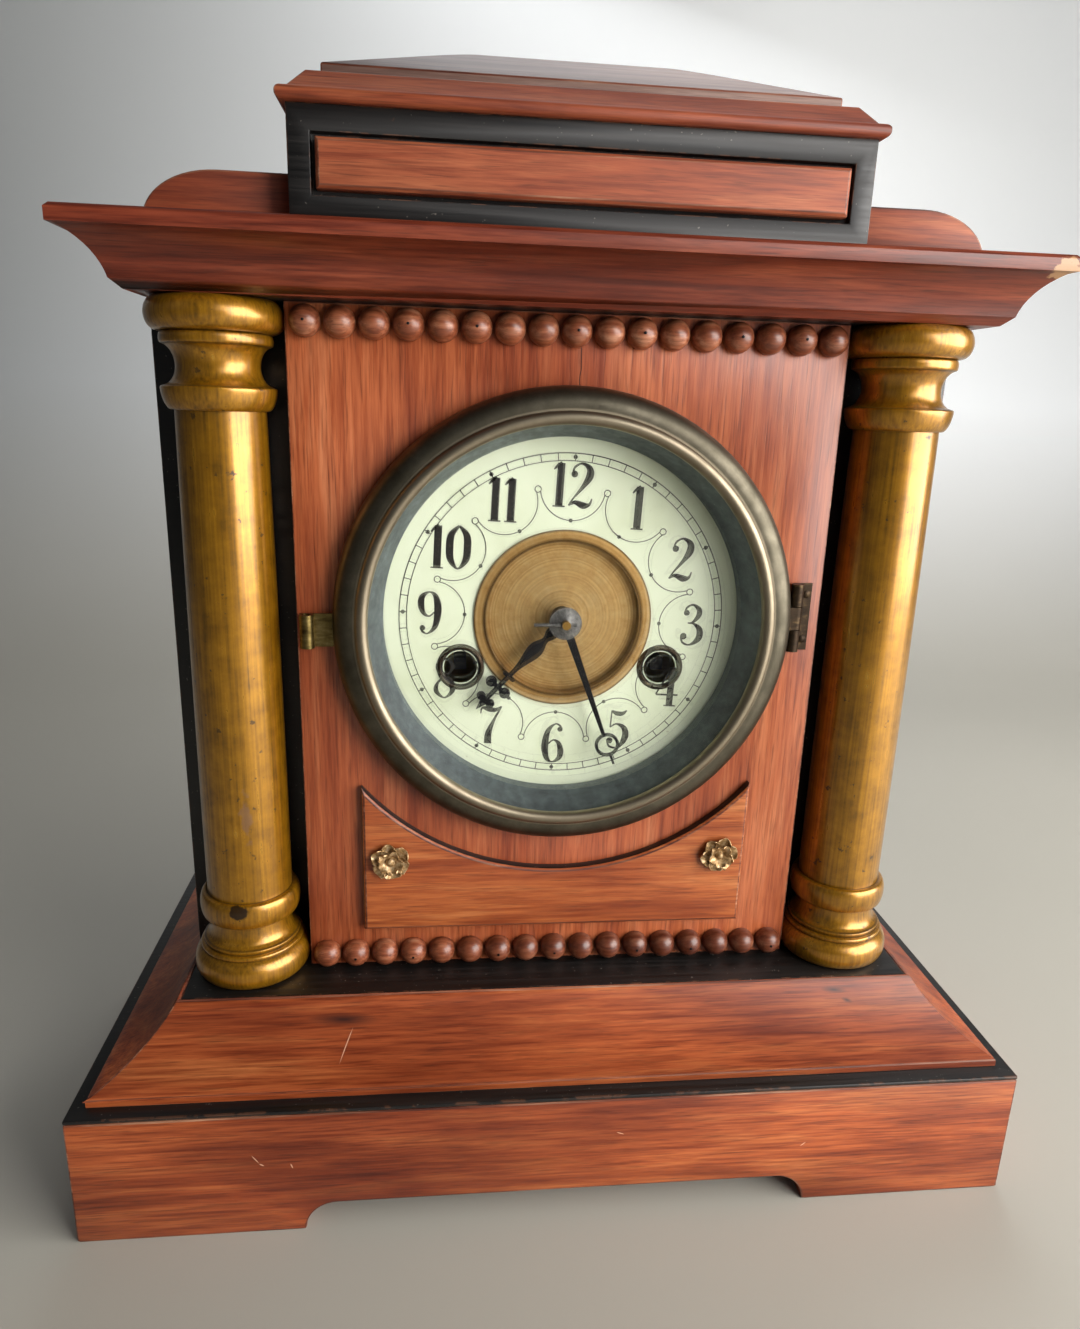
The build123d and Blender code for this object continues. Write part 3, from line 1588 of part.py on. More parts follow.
# Verge: curved pallet strip on its arbor, with the crutch behind the back plate
with BuildPart() as verge:
    add_arbor(verge_at)
    strip_inner = escape_radius + verge_clear
    with BuildSketch(facing(escape_y + 2 * wheel_sheet)) as pallet:
        with Locations(escape_at):
            Circle(strip_inner + verge_sheet)
            Circle(strip_inner, mode=Mode.SUBTRACT)
            with BuildLine():
                Polyline(
                    escape_at,
                    at_bearing(escape_at, 2 * escape_radius, 90 - verge_span),
                    at_bearing(escape_at, 2 * escape_radius, 90 + verge_span),
                    close=True,
                )
        make_face(mode=Mode.INTERSECT)
    extrude(pallet.sketch, amount=3 * wheel_sheet)
    add_block(
        (verge_at[0] - arbor_radius, escape_y - wheel_sheet, escape_at[1] + strip_inner),
        (verge_at[0] + arbor_radius, escape_y + 2 * wheel_sheet, verge_at[1]),
    )
    crutch_front = back_plate_back + crutch_gap
    crutch_low = verge_at[1] - crutch_length
    fork_in = rod_radius + crutch_clearance
    fork_out = fork_in + crutch_wire
    add_rod(verge_at, pivot_radius, back_plate_back, crutch_front + crutch_wire)
    add_block(
        (verge_at[0] - crutch_wire, crutch_front, crutch_low),
        (verge_at[0] + crutch_wire, crutch_front + crutch_wire, verge_at[1] + crutch_wire),
    )
    add_block(
        (verge_at[0] - fork_out, crutch_front, crutch_low),
        (verge_at[0] + fork_out, pendulum_y + rod_radius + crutch_prong, crutch_low + 2 * crutch_wire),
    )
    add_block(
        (verge_at[0] - fork_in, crutch_front + crutch_wire, crutch_low),
        (verge_at[0] + fork_in, pendulum_y + rod_radius + crutch_prong, crutch_low + 2 * crutch_wire),
        Mode.SUBTRACT,
    )
write(verge, "verge")

# Pendulum: rod with an eye on the cock's pin, a lens bob and a rating nut
bob_z = deck_top + pendulum_floor_gap + rod_tail + nut_thickness + bob_radius
with BuildPart() as pendulum_rod:
    add_rod(verge_at, eye_radius, pendulum_y - eye_thickness / 2, pendulum_y + eye_thickness / 2)
    nut_top = bob_z - bob_radius
    nut_low = nut_top - nut_thickness
    add_post((verge_at[0], pendulum_y), rod_radius, nut_low - rod_tail, verge_at[1])
    add_post((verge_at[0], pendulum_y), nut_radius, nut_low, nut_top)
    add_rod(
        verge_at,
        suspension_pin + pivot_clearance,
        pendulum_y - eye_thickness,
        pendulum_y + eye_thickness,
        Mode.SUBTRACT,
    )
write(pendulum_rod, "pendulum_rod")

with BuildPart() as pendulum_bob:
    bob_x = verge_at[0]
    bob_rim = bob_x + bob_radius
    with BuildSketch(Plane.XY.offset(bob_z)):
        with BuildLine():
            Line((bob_x, pendulum_y - bob_thickness / 2), (bob_x, pendulum_y + bob_thickness / 2))
            Line((bob_rim, pendulum_y - bob_edge / 2), (bob_rim, pendulum_y + bob_edge / 2))
            for way in (-1, 1):
                ThreePointArc(
                    (bob_x, pendulum_y + way * bob_thickness / 2),
                    (bob_x + bob_radius / 2, pendulum_y + way * bob_swell),
                    (bob_rim, pendulum_y + way * bob_edge / 2),
                )
        make_face()
    revolve(axis=Axis((bob_x, 0, bob_z), (0, 1, 0)))
    add_post(
        (bob_x, pendulum_y),
        rod_radius + hand_fit,
        bob_z - 2 * bob_radius,
        bob_z + 2 * bob_radius,
        Mode.SUBTRACT,
    )
write(pendulum_bob, "pendulum_bob")

# Strike train
with BuildPart() as strike_wheel:
    add_arbor(strike_at)
    phase = meshed_phase(great_teeth, great_phase, great_pinion_teeth, bearing_to(strike_arbor_at, strike_at))
    add_pinion(strike_at, great_pinion_teeth, great_module, phase, great_middle)
    add_wheel(strike_at, strike_teeth, strike_module, 0, second_y, wheel_sheet, wheel_spokes)
    for pin in range(lifting_pins):
        pin_circle = strike_teeth * strike_module / 2 - lifting_pin_inset
        pin_at = at_bearing(strike_at, pin_circle, 360 / lifting_pins * pin)
        add_rod(pin_at, lifting_pin_radius, second_y, second_y + wheel_sheet + lifting_pin_length)
write(strike_wheel, "strike_wheel")

with BuildPart() as warning_wheel:
    add_arbor(warning_at)
    phase = meshed_phase(strike_teeth, 0, warning_pinion_teeth, bearing_to(strike_at, warning_at))
    add_pinion(warning_at, warning_pinion_teeth, strike_module, phase, second_y + half_sheet)
    add_wheel(warning_at, warning_teeth, fly_module, 0, warning_y, wheel_sheet, wheel_spokes)
write(warning_wheel, "warning_wheel")

with BuildPart() as fly:
    add_arbor(fly_at)
    phase = meshed_phase(warning_teeth, 0, fly_pinion_teeth, bearing_to(warning_at, fly_at))
    add_pinion(fly_at, fly_pinion_teeth, fly_module, phase, warning_y + half_sheet)
    fly_y = plate_inner + fly_depth
    add_block(
        (fly_at[0] - fly_half, fly_y, fly_at[1] - fly_sheet / 2),
        (fly_at[0] + fly_half, fly_y + fly_width, fly_at[1] + fly_sheet / 2),
    )
write(fly, "fly")

# Gong: one flat strip wound open, its inner end in the block of the stand
gong_at = (0, deck_top + gong_rise)
with BuildPart() as coil_gong:
    add_strip(gong_at, gong_inner, gong_pitch, gong_halves, 0, gong_strip, gong_tail, gong_y, gong_width)
write(coil_gong, "coil_gong")
print("gong gap", round(least_gap(gong_inner, gong_pitch, gong_halves, gong_strip), 2))

with BuildPart() as gong_stand:
    post_y = gong_y + gong_width + gong_post_gap + gong_post
    foot_top_z = deck_top + gong_foot_height
    add_block(
        (-gong_foot, post_y - gong_foot_depth / 2, deck_top),
        (gong_foot, post_y + gong_foot_depth / 2, foot_top_z),
    )
    add_post((0, post_y), gong_post, foot_top_z, gong_at[1])
    add_rod(gong_at, gong_block, gong_y, post_y)
    add(coil_gong.part, mode=Mode.SUBTRACT)
write(gong_stand, "gong_stand")

# Hammer: arbor with a lifting tail, and a wire that carries the head beside the gong
with BuildPart() as strike_hammer:
    gong_middle = gong_y + gong_width / 2
    head_x = coil_gong.part.bounding_box().min.X - hammer_gong_gap - hammer_head_length / 2
    reach = hypot(head_x - hammer_at[0], gong_at[1] - hammer_at[1])
    add_rod(hammer_at, hammer_arbor, plate_front - pivot_stub, gong_middle + 2 * hammer_wire)
    wire_way = (head_x - hammer_at[0], 0, gong_at[1] - hammer_at[1])
    with BuildSketch(Plane(origin=(hammer_at[0], gong_middle, hammer_at[1]), z_dir=wire_way)) as wire:
        Circle(hammer_wire)
    extrude(wire.sketch, amount=reach)
    with BuildSketch(Plane.YZ.offset(head_x - hammer_head_length / 2)) as head:
        with Locations((gong_middle, gong_at[1])):
            Circle(hammer_head)
    extrude(head.sketch, amount=hammer_head_length)
    tail_end = at_bearing(hammer_at, hammer_tail, bearing_to(hammer_at, strike_at))
    tail_y = second_y + wheel_sheet + arbor_clear
    with BuildSketch(facing(tail_y + half_sheet)) as lifting_tail:
        with Locations(hammer_at):
            Circle(hammer_tail_width)
        with BuildLine():
            side = at_bearing((0, 0), hammer_tail_width / 2, bearing_to(hammer_at, strike_at) + 90)
            Polyline(
                (hammer_at[0] + side[0], hammer_at[1] + side[1]),
                (tail_end[0] + side[0], tail_end[1] + side[1]),
                (tail_end[0] - side[0], tail_end[1] - side[1]),
                (hammer_at[0] - side[0], hammer_at[1] - side[1]),
                close=True,
            )
        make_face()
    extrude(lifting_tail.sketch, amount=half_sheet)
write(strike_hammer, "strike_hammer")

print("sizes", plinth_width, plinth_depth, round(cap_top + roof_edge + roof_rise, 1))
for name, place in (
    ("time winding", time_arbor_at),
    ("second", second_at),
    ("third", third_at),
    ("escape", escape_at),
    ("verge", verge_at),
    ("minute stud", stud_at),
    ("strike", strike_at),
    ("warning", warning_at),
    ("fly", fly_at),
    ("hammer", hammer_at),
    ("door hinge", door_axis),
    ("bezel hinge", hinge_axis),
):
    print(name, [round(value, 4) for value in place])
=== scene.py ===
import json
from functools import partial
from math import cos, pi, radians, sin, sqrt

import bmesh
import bpy
from mathutils import Matrix, Vector, noise

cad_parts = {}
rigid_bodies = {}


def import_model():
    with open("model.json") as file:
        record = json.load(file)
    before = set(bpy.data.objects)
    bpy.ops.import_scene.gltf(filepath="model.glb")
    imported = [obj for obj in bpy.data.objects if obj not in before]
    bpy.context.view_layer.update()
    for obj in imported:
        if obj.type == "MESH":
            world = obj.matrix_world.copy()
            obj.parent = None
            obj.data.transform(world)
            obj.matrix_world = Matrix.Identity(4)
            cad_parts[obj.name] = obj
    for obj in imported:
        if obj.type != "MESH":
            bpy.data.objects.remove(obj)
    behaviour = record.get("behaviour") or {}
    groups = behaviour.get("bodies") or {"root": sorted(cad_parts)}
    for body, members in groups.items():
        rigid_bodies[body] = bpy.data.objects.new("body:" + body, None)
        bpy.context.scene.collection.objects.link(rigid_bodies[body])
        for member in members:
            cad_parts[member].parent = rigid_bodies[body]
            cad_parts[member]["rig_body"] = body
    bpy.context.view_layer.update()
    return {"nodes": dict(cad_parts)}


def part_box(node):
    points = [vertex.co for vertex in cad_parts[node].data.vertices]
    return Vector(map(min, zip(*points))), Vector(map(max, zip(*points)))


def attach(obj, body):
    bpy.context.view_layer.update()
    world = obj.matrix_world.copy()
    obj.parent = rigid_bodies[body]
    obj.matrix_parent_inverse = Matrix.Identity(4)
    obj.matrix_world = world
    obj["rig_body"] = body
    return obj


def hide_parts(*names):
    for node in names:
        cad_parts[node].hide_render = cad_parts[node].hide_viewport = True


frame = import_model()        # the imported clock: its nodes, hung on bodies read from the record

nodes = frame["nodes"]
sceneObjects = bpy.context.scene.collection.objects
mm = 0.001

# Places read from the frame
dialLow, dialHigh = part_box("dial_plate")
dialX = (dialLow.x + dialHigh.x) / 2
dialZ = (dialLow.z + dialHigh.z) / 2
dialFace = dialLow.y
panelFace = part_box("front_panel")[0].y
print("frame loaded, dial at", round(dialZ, 4), "panel face at", round(panelFace, 4))


# Small tools
def toneOf(hexCode):
    parts = [int(hexCode[i:i + 2], 16) / 255 for i in (1, 3, 5)]    # sRGB to linear
    return [p / 12.92 if p <= 0.04045 else ((p + 0.055) / 1.055) ** 2.4 for p in parts] + [1.0]


def wire(node, links):
    for key, source in links.items():
        if isinstance(source, bpy.types.Node):    # a node stands for its first live output
            source = next(socket for socket in source.outputs if socket.enabled)
        node.id_data.links.new(source, node.inputs[key])


def addNode(tree, kind, settings=None, links=None):
    node = tree.nodes.new(kind if "Node" in kind else "ShaderNode" + kind)    # shader nodes by short names
    for key, value in (settings or {}).items():
        if key == "stops":
            ramp = node.color_ramp.elements
            while len(ramp) < len(value):
                ramp.new(0.5)
            for stop, (place, hexCode) in zip(ramp, value):
                stop.position = place
                stop.color = toneOf(hexCode)
        elif isinstance(key, str) and hasattr(node, key):
            setattr(node, key, value)
        else:
            node.inputs[key].default_value = value
    wire(node, links or {})
    return node


def newFinish(name, settings):
    finish = bpy.data.materials.new(name)
    finish.use_nodes = True
    finish.node_tree.nodes.clear()
    add = partial(addNode, finish.node_tree)
    skin = add("BsdfPrincipled", settings)
    add("OutputMaterial", {}, {"Surface": skin})
    where = add("TexCoord").outputs["Object"]
    return finish, skin, where, add


def dress(mesh, *finishes):
    mesh.materials.clear()
    for finish in finishes:
        mesh.materials.append(finish)
    for face in mesh.polygons:
        face.material_index = 0


def smooth(mesh, angle=32):
    for face in mesh.polygons:
        face.use_smooth = True
    mesh.set_sharp_from_angle(angle=radians(angle))


def frozen(host):        # plain mesh of an object with its modifiers applied
    return bpy.data.meshes.new_from_object(host.evaluated_get(bpy.context.evaluated_depsgraph_get()))


def addPiece(name, mesh, body, replaced=()):
    piece = bpy.data.objects.new(name, mesh)
    sceneObjects.link(piece)
    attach(piece, body)
    if replaced:
        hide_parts(*replaced)
    return piece


def raggedSpot(add, where, ragged, spot):
    # Blotch round a place in mm, full to one radius and gone at the next, its outline broken by noise
    away = add("VectorMath", {"operation": "DISTANCE", 1: [v * mm for v in spot["at"]]}, {0: where})
    edge = add("Math", {"operation": "MULTIPLY_ADD", 1: spot["wobble"] * mm}, {0: ragged, 2: away})
    return add("MapRange", {"From Min": spot["full"] * mm, "From Max": spot["gone"] * mm,
                            "To Min": spot["depth"], "To Max": 0.0}, {"Value": edge})


def dialRadius(add, where):        # distance from the dial's axis
    flat = add("Mapping", {"Location": [-dialX, 0, -dialZ], "Scale": [1, 0, 1]}, {"Vector": where})
    return add("VectorMath", {"operation": "LENGTH"}, {0: flat})


# Wood
def veneer(name, look):
    polish = {"IOR": 1.5, "Coat Weight": look["coat"], "Coat Roughness": 0.2}
    finish, skin, where, add = newFinish(name, polish)

    def stretched(length, width):        # real millimetres along and across the grain
        scale = [1000 / width] * 3
        scale["xyz".index(look["grain"])] = 1000 / length
        return add("Mapping", {"Scale": scale}, {"Vector": where})

    figure = add("TexNoise", {"Scale": 1.0, "Detail": 4.0, "Roughness": 0.55, "Distortion": 0.5},
                 {"Vector": stretched(look["figure"] * 12, look["figure"])})
    fibre = add("TexNoise", {"Scale": 1.0, "Detail": 4.0, "Roughness": 0.65}, {"Vector": stretched(30, 1.1)})
    # Real pores are finer, these are drawn coarse enough to show
    pore = add("TexNoise", {"Scale": 1.0, "Detail": 2.0}, {"Vector": stretched(13, 0.55)})
    cloud = add("TexNoise", {"Scale": 1.0, "Detail": 3.0}, {"Vector": stretched(110, 45)})
    tone = add("ValToRGB", {"stops": tuple(zip((0.28, 0.5, 0.74), look["tones"]))}, {"Fac": figure})
    streak = add("ValToRGB", {"stops": ((0.34, look["streaks"]), (0.6, "#ffffff"))}, {"Fac": fibre})
    tone = add("Mix", {"data_type": "RGBA", "blend_type": "MULTIPLY", 0: 0.85}, {6: tone, 7: streak})
    shade = add("ValToRGB", {"stops": ((0.34, look["shade"]), (0.62, "#ffffff"))}, {"Fac": cloud})
    tone = add("Mix", {"data_type": "RGBA", "blend_type": "MULTIPLY", 0: 0.9}, {6: tone, 7: shade})
    pits = add("MapRange", {"From Min": 0.54, "From Max": 0.74, "To Max": 0.55}, {"Value": pore})
    tone = add("Mix", {"data_type": "RGBA", 7: toneOf(look["pores"])}, {0: pits, 6: tone})
    gloss = add("MapRange", {"To Min": look["rough"] - 0.06, "To Max": look["rough"] + 0.12},
                {"Value": fibre})
    relief = add("Math", {"operation": "SUBTRACT"}, {0: fibre, 1: pits})
    bump = add("Bump", {"Strength": 0.25, "Distance": 0.12 * mm}, {"Height": relief})
    wire(skin, {"Roughness": gloss, "Normal": bump, "Base Color": tone})
    return finish, skin, tone, where, add


# Polished mahogany, vertical ribbon figure: the warm orange-red ground of the front panel
panelMahogany, skin, tone, where, add = veneer("mahoganyPanelPolished", {
    "grain": "z", "figure": 7.0, "rough": 0.36, "coat": 0.12, "streaks": "#c9ada1", "shade": "#c9aea2",
    "tones": ("#9a4b2b", "#bd683e", "#d08459"), "pores": "#4e1f10"})
crack = {"x": 2.0, "low": 286.5, "high": 299.6, "half": 0.16, "sway": 0.8}    # short split above the bezel
wander = add("TexNoise", {"Scale": 160.0, "Detail": 1.0}, {"Vector": where})
split = add("SeparateXYZ", {}, {0: where})
sway = add("Math", {"operation": "MULTIPLY_ADD", 1: 2 * crack["sway"] * mm,
                    2: (-crack["x"] - crack["sway"]) * mm}, {0: wander})
offset = add("Math", {"operation": "ADD"}, {0: split, 1: sway})
aside = add("Math", {"operation": "ABSOLUTE"}, {0: offset})
inside = add("Math", {"operation": "LESS_THAN", 1: crack["half"] * mm}, {0: aside})
above = add("Math", {"operation": "GREATER_THAN", 1: crack["low"] * mm}, {0: split.outputs[2]})
below = add("Math", {"operation": "LESS_THAN", 1: crack["high"] * mm}, {0: split.outputs[2]})
span = add("Math", {"operation": "MULTIPLY"}, {0: above, 1: below})
mark = add("Math", {"operation": "MULTIPLY"}, {0: inside, 1: span})
cracked = add("Mix", {"data_type": "RGBA", 7: toneOf("#2a110a")}, {0: mark, 6: tone})
wire(skin, {"Base Color": cracked})

# The same timber laid lengthways: browner and a little duller on the plinth, cove and apron
plinthMahogany, skin, tone, where, add = veneer("mahoganyPlinthPolished", {
    "grain": "x", "figure": 6.5, "rough": 0.42, "coat": 0.06, "streaks": "#b39183", "shade": "#a48374",
    "tones": ("#8a3b1a", "#b95e30", "#d27e46"), "pores": "#451a0c"})
apronMahogany = veneer("mahoganyApronPolished", {
    "grain": "x", "figure": 6.0, "rough": 0.38, "coat": 0.1, "streaks": "#c6a697", "shade": "#d2b9ac",
    "tones": ("#9c4e24", "#bd6a36", "#d08850"), "pores": "#552410"})[0]
sideMahogany = veneer("mahoganyReturnPolished", {
    "grain": "y", "figure": 8.0, "rough": 0.42, "coat": 0.06, "streaks": "#bf9f90", "shade": "#c6aa9c",
    "tones": ("#8c4120", "#b05a2f", "#c87a47"), "pores": "#51200d"})[0]
topMahogany = veneer("mahoganyAtticPolished", {    # redder and flatter on the attic and its shoulders
    "grain": "x", "figure": 7.0, "rough": 0.56, "coat": 0.0, "streaks": "#bc9e92", "shade": "#c4a99e",
    "tones": ("#7c3a22", "#a35230", "#bd7048"), "pores": "#461c0e"})[0]
roofMahoganyDustAndSheen = veneer("mahoganyRoofDustAndSheen", {    # years of dust dulled the polish; its grey brown is partly dust and partly a painted reflection of the pale room
    "grain": "x", "figure": 7.0, "rough": 0.6, "coat": 0.0, "streaks": "#cbbdb5", "shade": "#c0aea4",
    "tones": ("#70544a", "#8d7268", "#a68d82"), "pores": "#4d342a"})[0]
beadMahogany = veneer("mahoganyBeadTurned", {    # turned beads: brown with pale end grain
    "grain": "x", "figure": 3.0, "rough": 0.34, "coat": 0.15, "streaks": "#b89c90", "shade": "#8f7265",
    "tones": ("#6e3822", "#985638", "#bd8464"), "pores": "#3f1b0f"})[0]

# Old scratches and scorched patches on the plinth and cove, as small ellipses in front view:
# x, z, half length and half width in mm, and lean in degrees
plinthMarks = {
    "scratches": {"tone": "#d8a98c", "depth": 2.4, "places": (
        (-76.6, 60.6, 4.6, 0.22, -62), (-106.0, 31.0, 2.2, 0.2, 55), (-104.0, 28.6, 1.0, 0.3, 30),
        (-94.0, 27.5, 1.2, 0.25, 70), (20.0, 34.0, 1.6, 0.2, 20), (88.0, 25.0, 1.4, 0.2, -40))},
    "scorches": {"tone": "#3a1a12", "depth": 1.1, "places": (
        (106.0, 69.6, 5.5, 1.1, 4), (110.5, 66.6, 2.4, 0.7, 12), (-78.0, 66.5, 14.0, 2.0, 2))}}
for kind in plinthMarks.values():
    for markX, markZ, long, half, lean in kind["places"]:
        local = add("Mapping", {
            "vector_type": "TEXTURE", "Location": [markX * mm, 0, markZ * mm],
            "Rotation": [0, radians(lean), 0], "Scale": [long * mm, 1.0, half * mm]}, {"Vector": where})
        patch = add("TexGradient", {"gradient_type": "SPHERICAL"}, {"Vector": local})
        weight = add("Math", {"operation": "MULTIPLY", "use_clamp": True, 1: kind["depth"]},
                     {0: patch.outputs[1]})
        tone = add("Mix", {"data_type": "RGBA", 7: toneOf(kind["tone"])}, {0: weight, 6: tone})
wire(skin, {"Base Color": tone})

# Darker red cornice with a pale bruise where the lip was knocked
corniceMahogany, skin, tone, where, add = veneer("mahoganyCornicePolished", {
    "grain": "x", "figure": 6.0, "rough": 0.38, "coat": 0.1, "streaks": "#b59588", "shade": "#bb9f93",
    "tones": ("#652717", "#853b23", "#9e5134"), "pores": "#32120a"})
bruise = {"at": (146.5, -64.0, 325.0), "full": 7.0, "gone": 7.7, "wobble": 6.0, "depth": 1.0,
          "tone": "#b48a62"}
ragged = add("TexNoise", {"Scale": 420.0, "Detail": 3.0}, {"Vector": where})
chip = raggedSpot(add, where, ragged, bruise)
bruised = add("Mix", {"data_type": "RGBA", 7: toneOf(bruise["tone"])}, {0: chip, 6: tone})
wire(skin, {"Base Color": bruised})

# Stained softwood: coarse pale-brown grain, dull, on the back that nobody polished
stainedPine = veneer("pineBackStained", {
    "grain": "z", "figure": 11.0, "rough": 0.6, "coat": 0.0, "streaks": "#a08468", "shade": "#b39a80",
    "tones": ("#4c331f", "#6a4a2e", "#83613f"), "pores": "#2e1d10"})[0]


def ebonised(name, edgeWear):
    # Black-stained and polished hardwood: satin black with a trace of grain, brown where handling wore it
    finish, skin, where, add = newFinish(name, {"IOR": 1.5, "Coat Weight": 0.05, "Coat Roughness": 0.3})
    fibres = add("Mapping", {"Scale": [1000 / 60, 1000 / 1.2, 1000 / 1.2]}, {"Vector": where})
    grain = add("TexNoise", {"Scale": 1.0, "Detail": 3.0}, {"Vector": fibres})
    tone = add("ValToRGB", {"stops": ((0.3, "#0a0909"), (0.55, "#131110"), (0.8, "#1f1b1a"))}, {"Fac": grain})
    rub = add("TexNoise", {"Scale": 1000 / 9, "Detail": 5.0, "Roughness": 0.65}, {"Vector": where})
    worn = add("MapRange", {"From Min": 0.66 - edgeWear, "From Max": 0.72 - edgeWear}, {"Value": rub})
    tone = add("Mix", {"data_type": "RGBA", 7: toneOf("#4a3022")}, {0: worn, 6: tone})
    lint = add("TexNoise", {"Scale": 1000 / 1.1, "Detail": 1.0}, {"Vector": where})
    specks = add("MapRange", {"From Min": 0.74, "From Max": 0.78, "To Max": 0.6}, {"Value": lint})
    tone = add("Mix", {"data_type": "RGBA", 7: toneOf("#77716a")}, {0: specks, 6: tone})
    gloss = add("MapRange", {"From Min": 0.3, "From Max": 0.7, "To Min": 0.36, "To Max": 0.54},
                {"Value": grain})
    bump = add("Bump", {"Strength": 0.3, "Distance": 0.15 * mm}, {"Height": grain})
    wire(skin, {"Base Color": tone, "Roughness": gloss, "Normal": bump})
    return finish


blackWood = ebonised("hardwoodEbonised", -0.06)
blackEdge = ebonised("hardwoodEbonisedWornEdge", 0.16)
mahoganyEdge = veneer("mahoganyEdgeWorn", {    # arrises rubbed through the polish, paler and duller
    "grain": "x", "figure": 5.0, "rough": 0.5, "coat": 0.0, "streaks": "#a07a68", "shade": "#8a6657",
    "tones": ("#5a2a1a", "#9a5a3e", "#d6a684"), "pores": "#3b170d"})[0]


# Metals and paints: blotches and brush marks in mm
def metal(name, look):
    finish, skin, where, add = newFinish(name, {"Metallic": look["metallic"]})
    cloud = add("TexNoise", {"Scale": 1000 / look["blotch"], "Detail": 5.0, "Roughness": 0.62},
                {"Vector": where})
    stretch = add("Mapping", {"Scale": [1000 / size for size in look["brush"]]}, {"Vector": where})
    brush = add("TexNoise", {"Scale": 1.0, "Detail": 3.0}, {"Vector": stretch})
    mixed = add("Mix", {"data_type": "FLOAT", 0: look["share"]}, {2: cloud, 3: brush})
    places = look.get("places", (0.3, 0.5, 0.72))
    tone = add("ValToRGB", {"stops": tuple(zip(places, look["tones"]))}, {"Fac": mixed})
    gloss = add("MapRange", {"From Min": 0.3, "From Max": 0.7, "To Min": look["rough"] + 0.1,
                             "To Max": look["rough"] - 0.06}, {"Value": mixed})
    bump = add("Bump", {"Strength": look["relief"], "Distance": 0.15 * mm}, {"Height": mixed})
    wire(skin, {"Base Color": tone, "Roughness": gloss, "Normal": bump})
    return finish, skin, tone, where, add


# Bronze-gilt paint over turned wood: golden satin with faint upright brush streaks and small brown worn marks
giltPaint, skin, tone, where, add = metal("giltPaintBrushed", {
    "metallic": 0.6, "blotch": 7.0, "brush": (0.9, 0.9, 45.0), "share": 0.5, "rough": 0.31, "relief": 0.12,
    "places": (0.3, 0.46, 0.6, 0.8), "tones": ("#5f4106", "#94660d", "#b17c16", "#d4a540")})
skin.inputs["Coat Roughness"].default_value = 0.22    # old varnish over the powder: pale highlights
bareSpot = {"at": (-115.0, -50.3, 104.0), "full": 4.8, "gone": 5.4, "wobble": 4.0, "depth": 0.95}
scuffLong = 4.5    # the scuff low on the left shaft is this much longer than wide
shaftScuff = {"at": (-110.9, -47.0, 139.0 / scuffLong), "full": 4.2, "gone": 5.0, "wobble": 6.0, "depth": 0.6}
rubbed = add("TexNoise", {"Scale": 1000 / 4.0, "Detail": 3.0, "Roughness": 0.65}, {"Vector": where})
patch = add("MapRange", {"From Min": 0.66, "From Max": 0.7, "To Max": 0.75}, {"Value": rubbed})
bare = raggedSpot(add, where, rubbed, bareSpot)
longWay = add("Mapping", {"Scale": [1, 1, 1 / scuffLong]}, {"Vector": where})
scuff = raggedSpot(add, longWay, rubbed, shaftScuff)
wornMask = add("Math", {"operation": "MAXIMUM"}, {0: patch, 1: bare})
scuffed = add("Mix", {"data_type": "RGBA", 7: toneOf("#8c6a52")}, {0: scuff, 6: tone})
grime = add("Attribute", {"attribute_name": "grime"}).outputs["Fac"]    # black wax left in the turned grooves, with painted shade there as well
grimedAndShaded = add("Mix", {"data_type": "RGBA", 7: toneOf("#2a1a0b")}, {0: grime, 6: scuffed})
wornGilt = add("Mix", {"data_type": "RGBA", 7: toneOf("#140a05")}, {0: wornMask, 6: grimedAndShaded})
# worn spots and the grooves' wax with painted shade both lose the gilt's metal and sheen
bareSpotsAndGrooves = add("Math", {"operation": "MAXIMUM"}, {0: wornMask, 1: grime})
dull = add("MapRange", {"To Min": 0.6, "To Max": 0.05}, {"Value": bareSpotsAndGrooves})
sheen = add("MapRange", {"To Min": 0.7, "To Max": 0.0}, {"Value": bareSpotsAndGrooves})
wire(skin, {"Coat Weight": sheen, "Base Color": wornGilt, "Metallic": dull})

# Patinated brass: a dark olive-brown skin, rubbed brighter on the inner lip
bezelBrass, skin, tone, where, add = metal("brassPatinated", {
    "metallic": 1.0, "blotch": 9.0, "brush": (30.0, 2.0, 30.0), "share": 0.35, "rough": 0.42, "relief": 0.1,
    "tones": ("#433f34", "#585347", "#716b5c")})
lip = {"outer": 72.6, "fade": 0.5, "tone": "#6f6555"}
radius = dialRadius(add, where)
bright = add("MapRange", {"From Min": (lip["outer"] + lip["fade"]) * mm, "From Max": lip["outer"] * mm},
             {"Value": radius})
lipTone = add("Mix", {"data_type": "RGBA", "blend_type": "ADD", 7: toneOf(lip["tone"])}, {0: bright, 6: tone})
wire(skin, {"Base Color": lipTone})

# Lacquered spun brass, tarnished in golden-brown clouds, with painted shade in the groove and round the rim
dialBrass, skin, tone, where, add = metal("brassDialCentreMottled", {
    "metallic": 0.85, "blotch": 3.2, "brush": (3.0, 3.0, 3.0), "share": 0.2, "rough": 0.4, "relief": 0.08,
    "places": (0.3, 0.48, 0.7), "tones": ("#c6a26a", "#d8b67c", "#e4c894")})
centre = {"radius": 32.0, "ring": 0.9}    # rim of the dish and spacing of its turning marks
radius = dialRadius(add, where)
share = add("MapRange", {"From Max": centre["radius"] * mm}, {"Value": radius})
alongRadius = add("CombineXYZ", {}, {0: radius})
turning = add("TexNoise", {"Scale": 1000 / centre["ring"], "Detail": 3.0}, {"Vector": alongRadius})
rings = add("ValToRGB", {"stops": ((0.35, "#c8b8a0"), (0.6, "#ffffff"))}, {"Fac": turning})
tone = add("Mix", {"data_type": "RGBA", "blend_type": "MULTIPLY", 0: 0.7}, {6: tone, 7: rings})
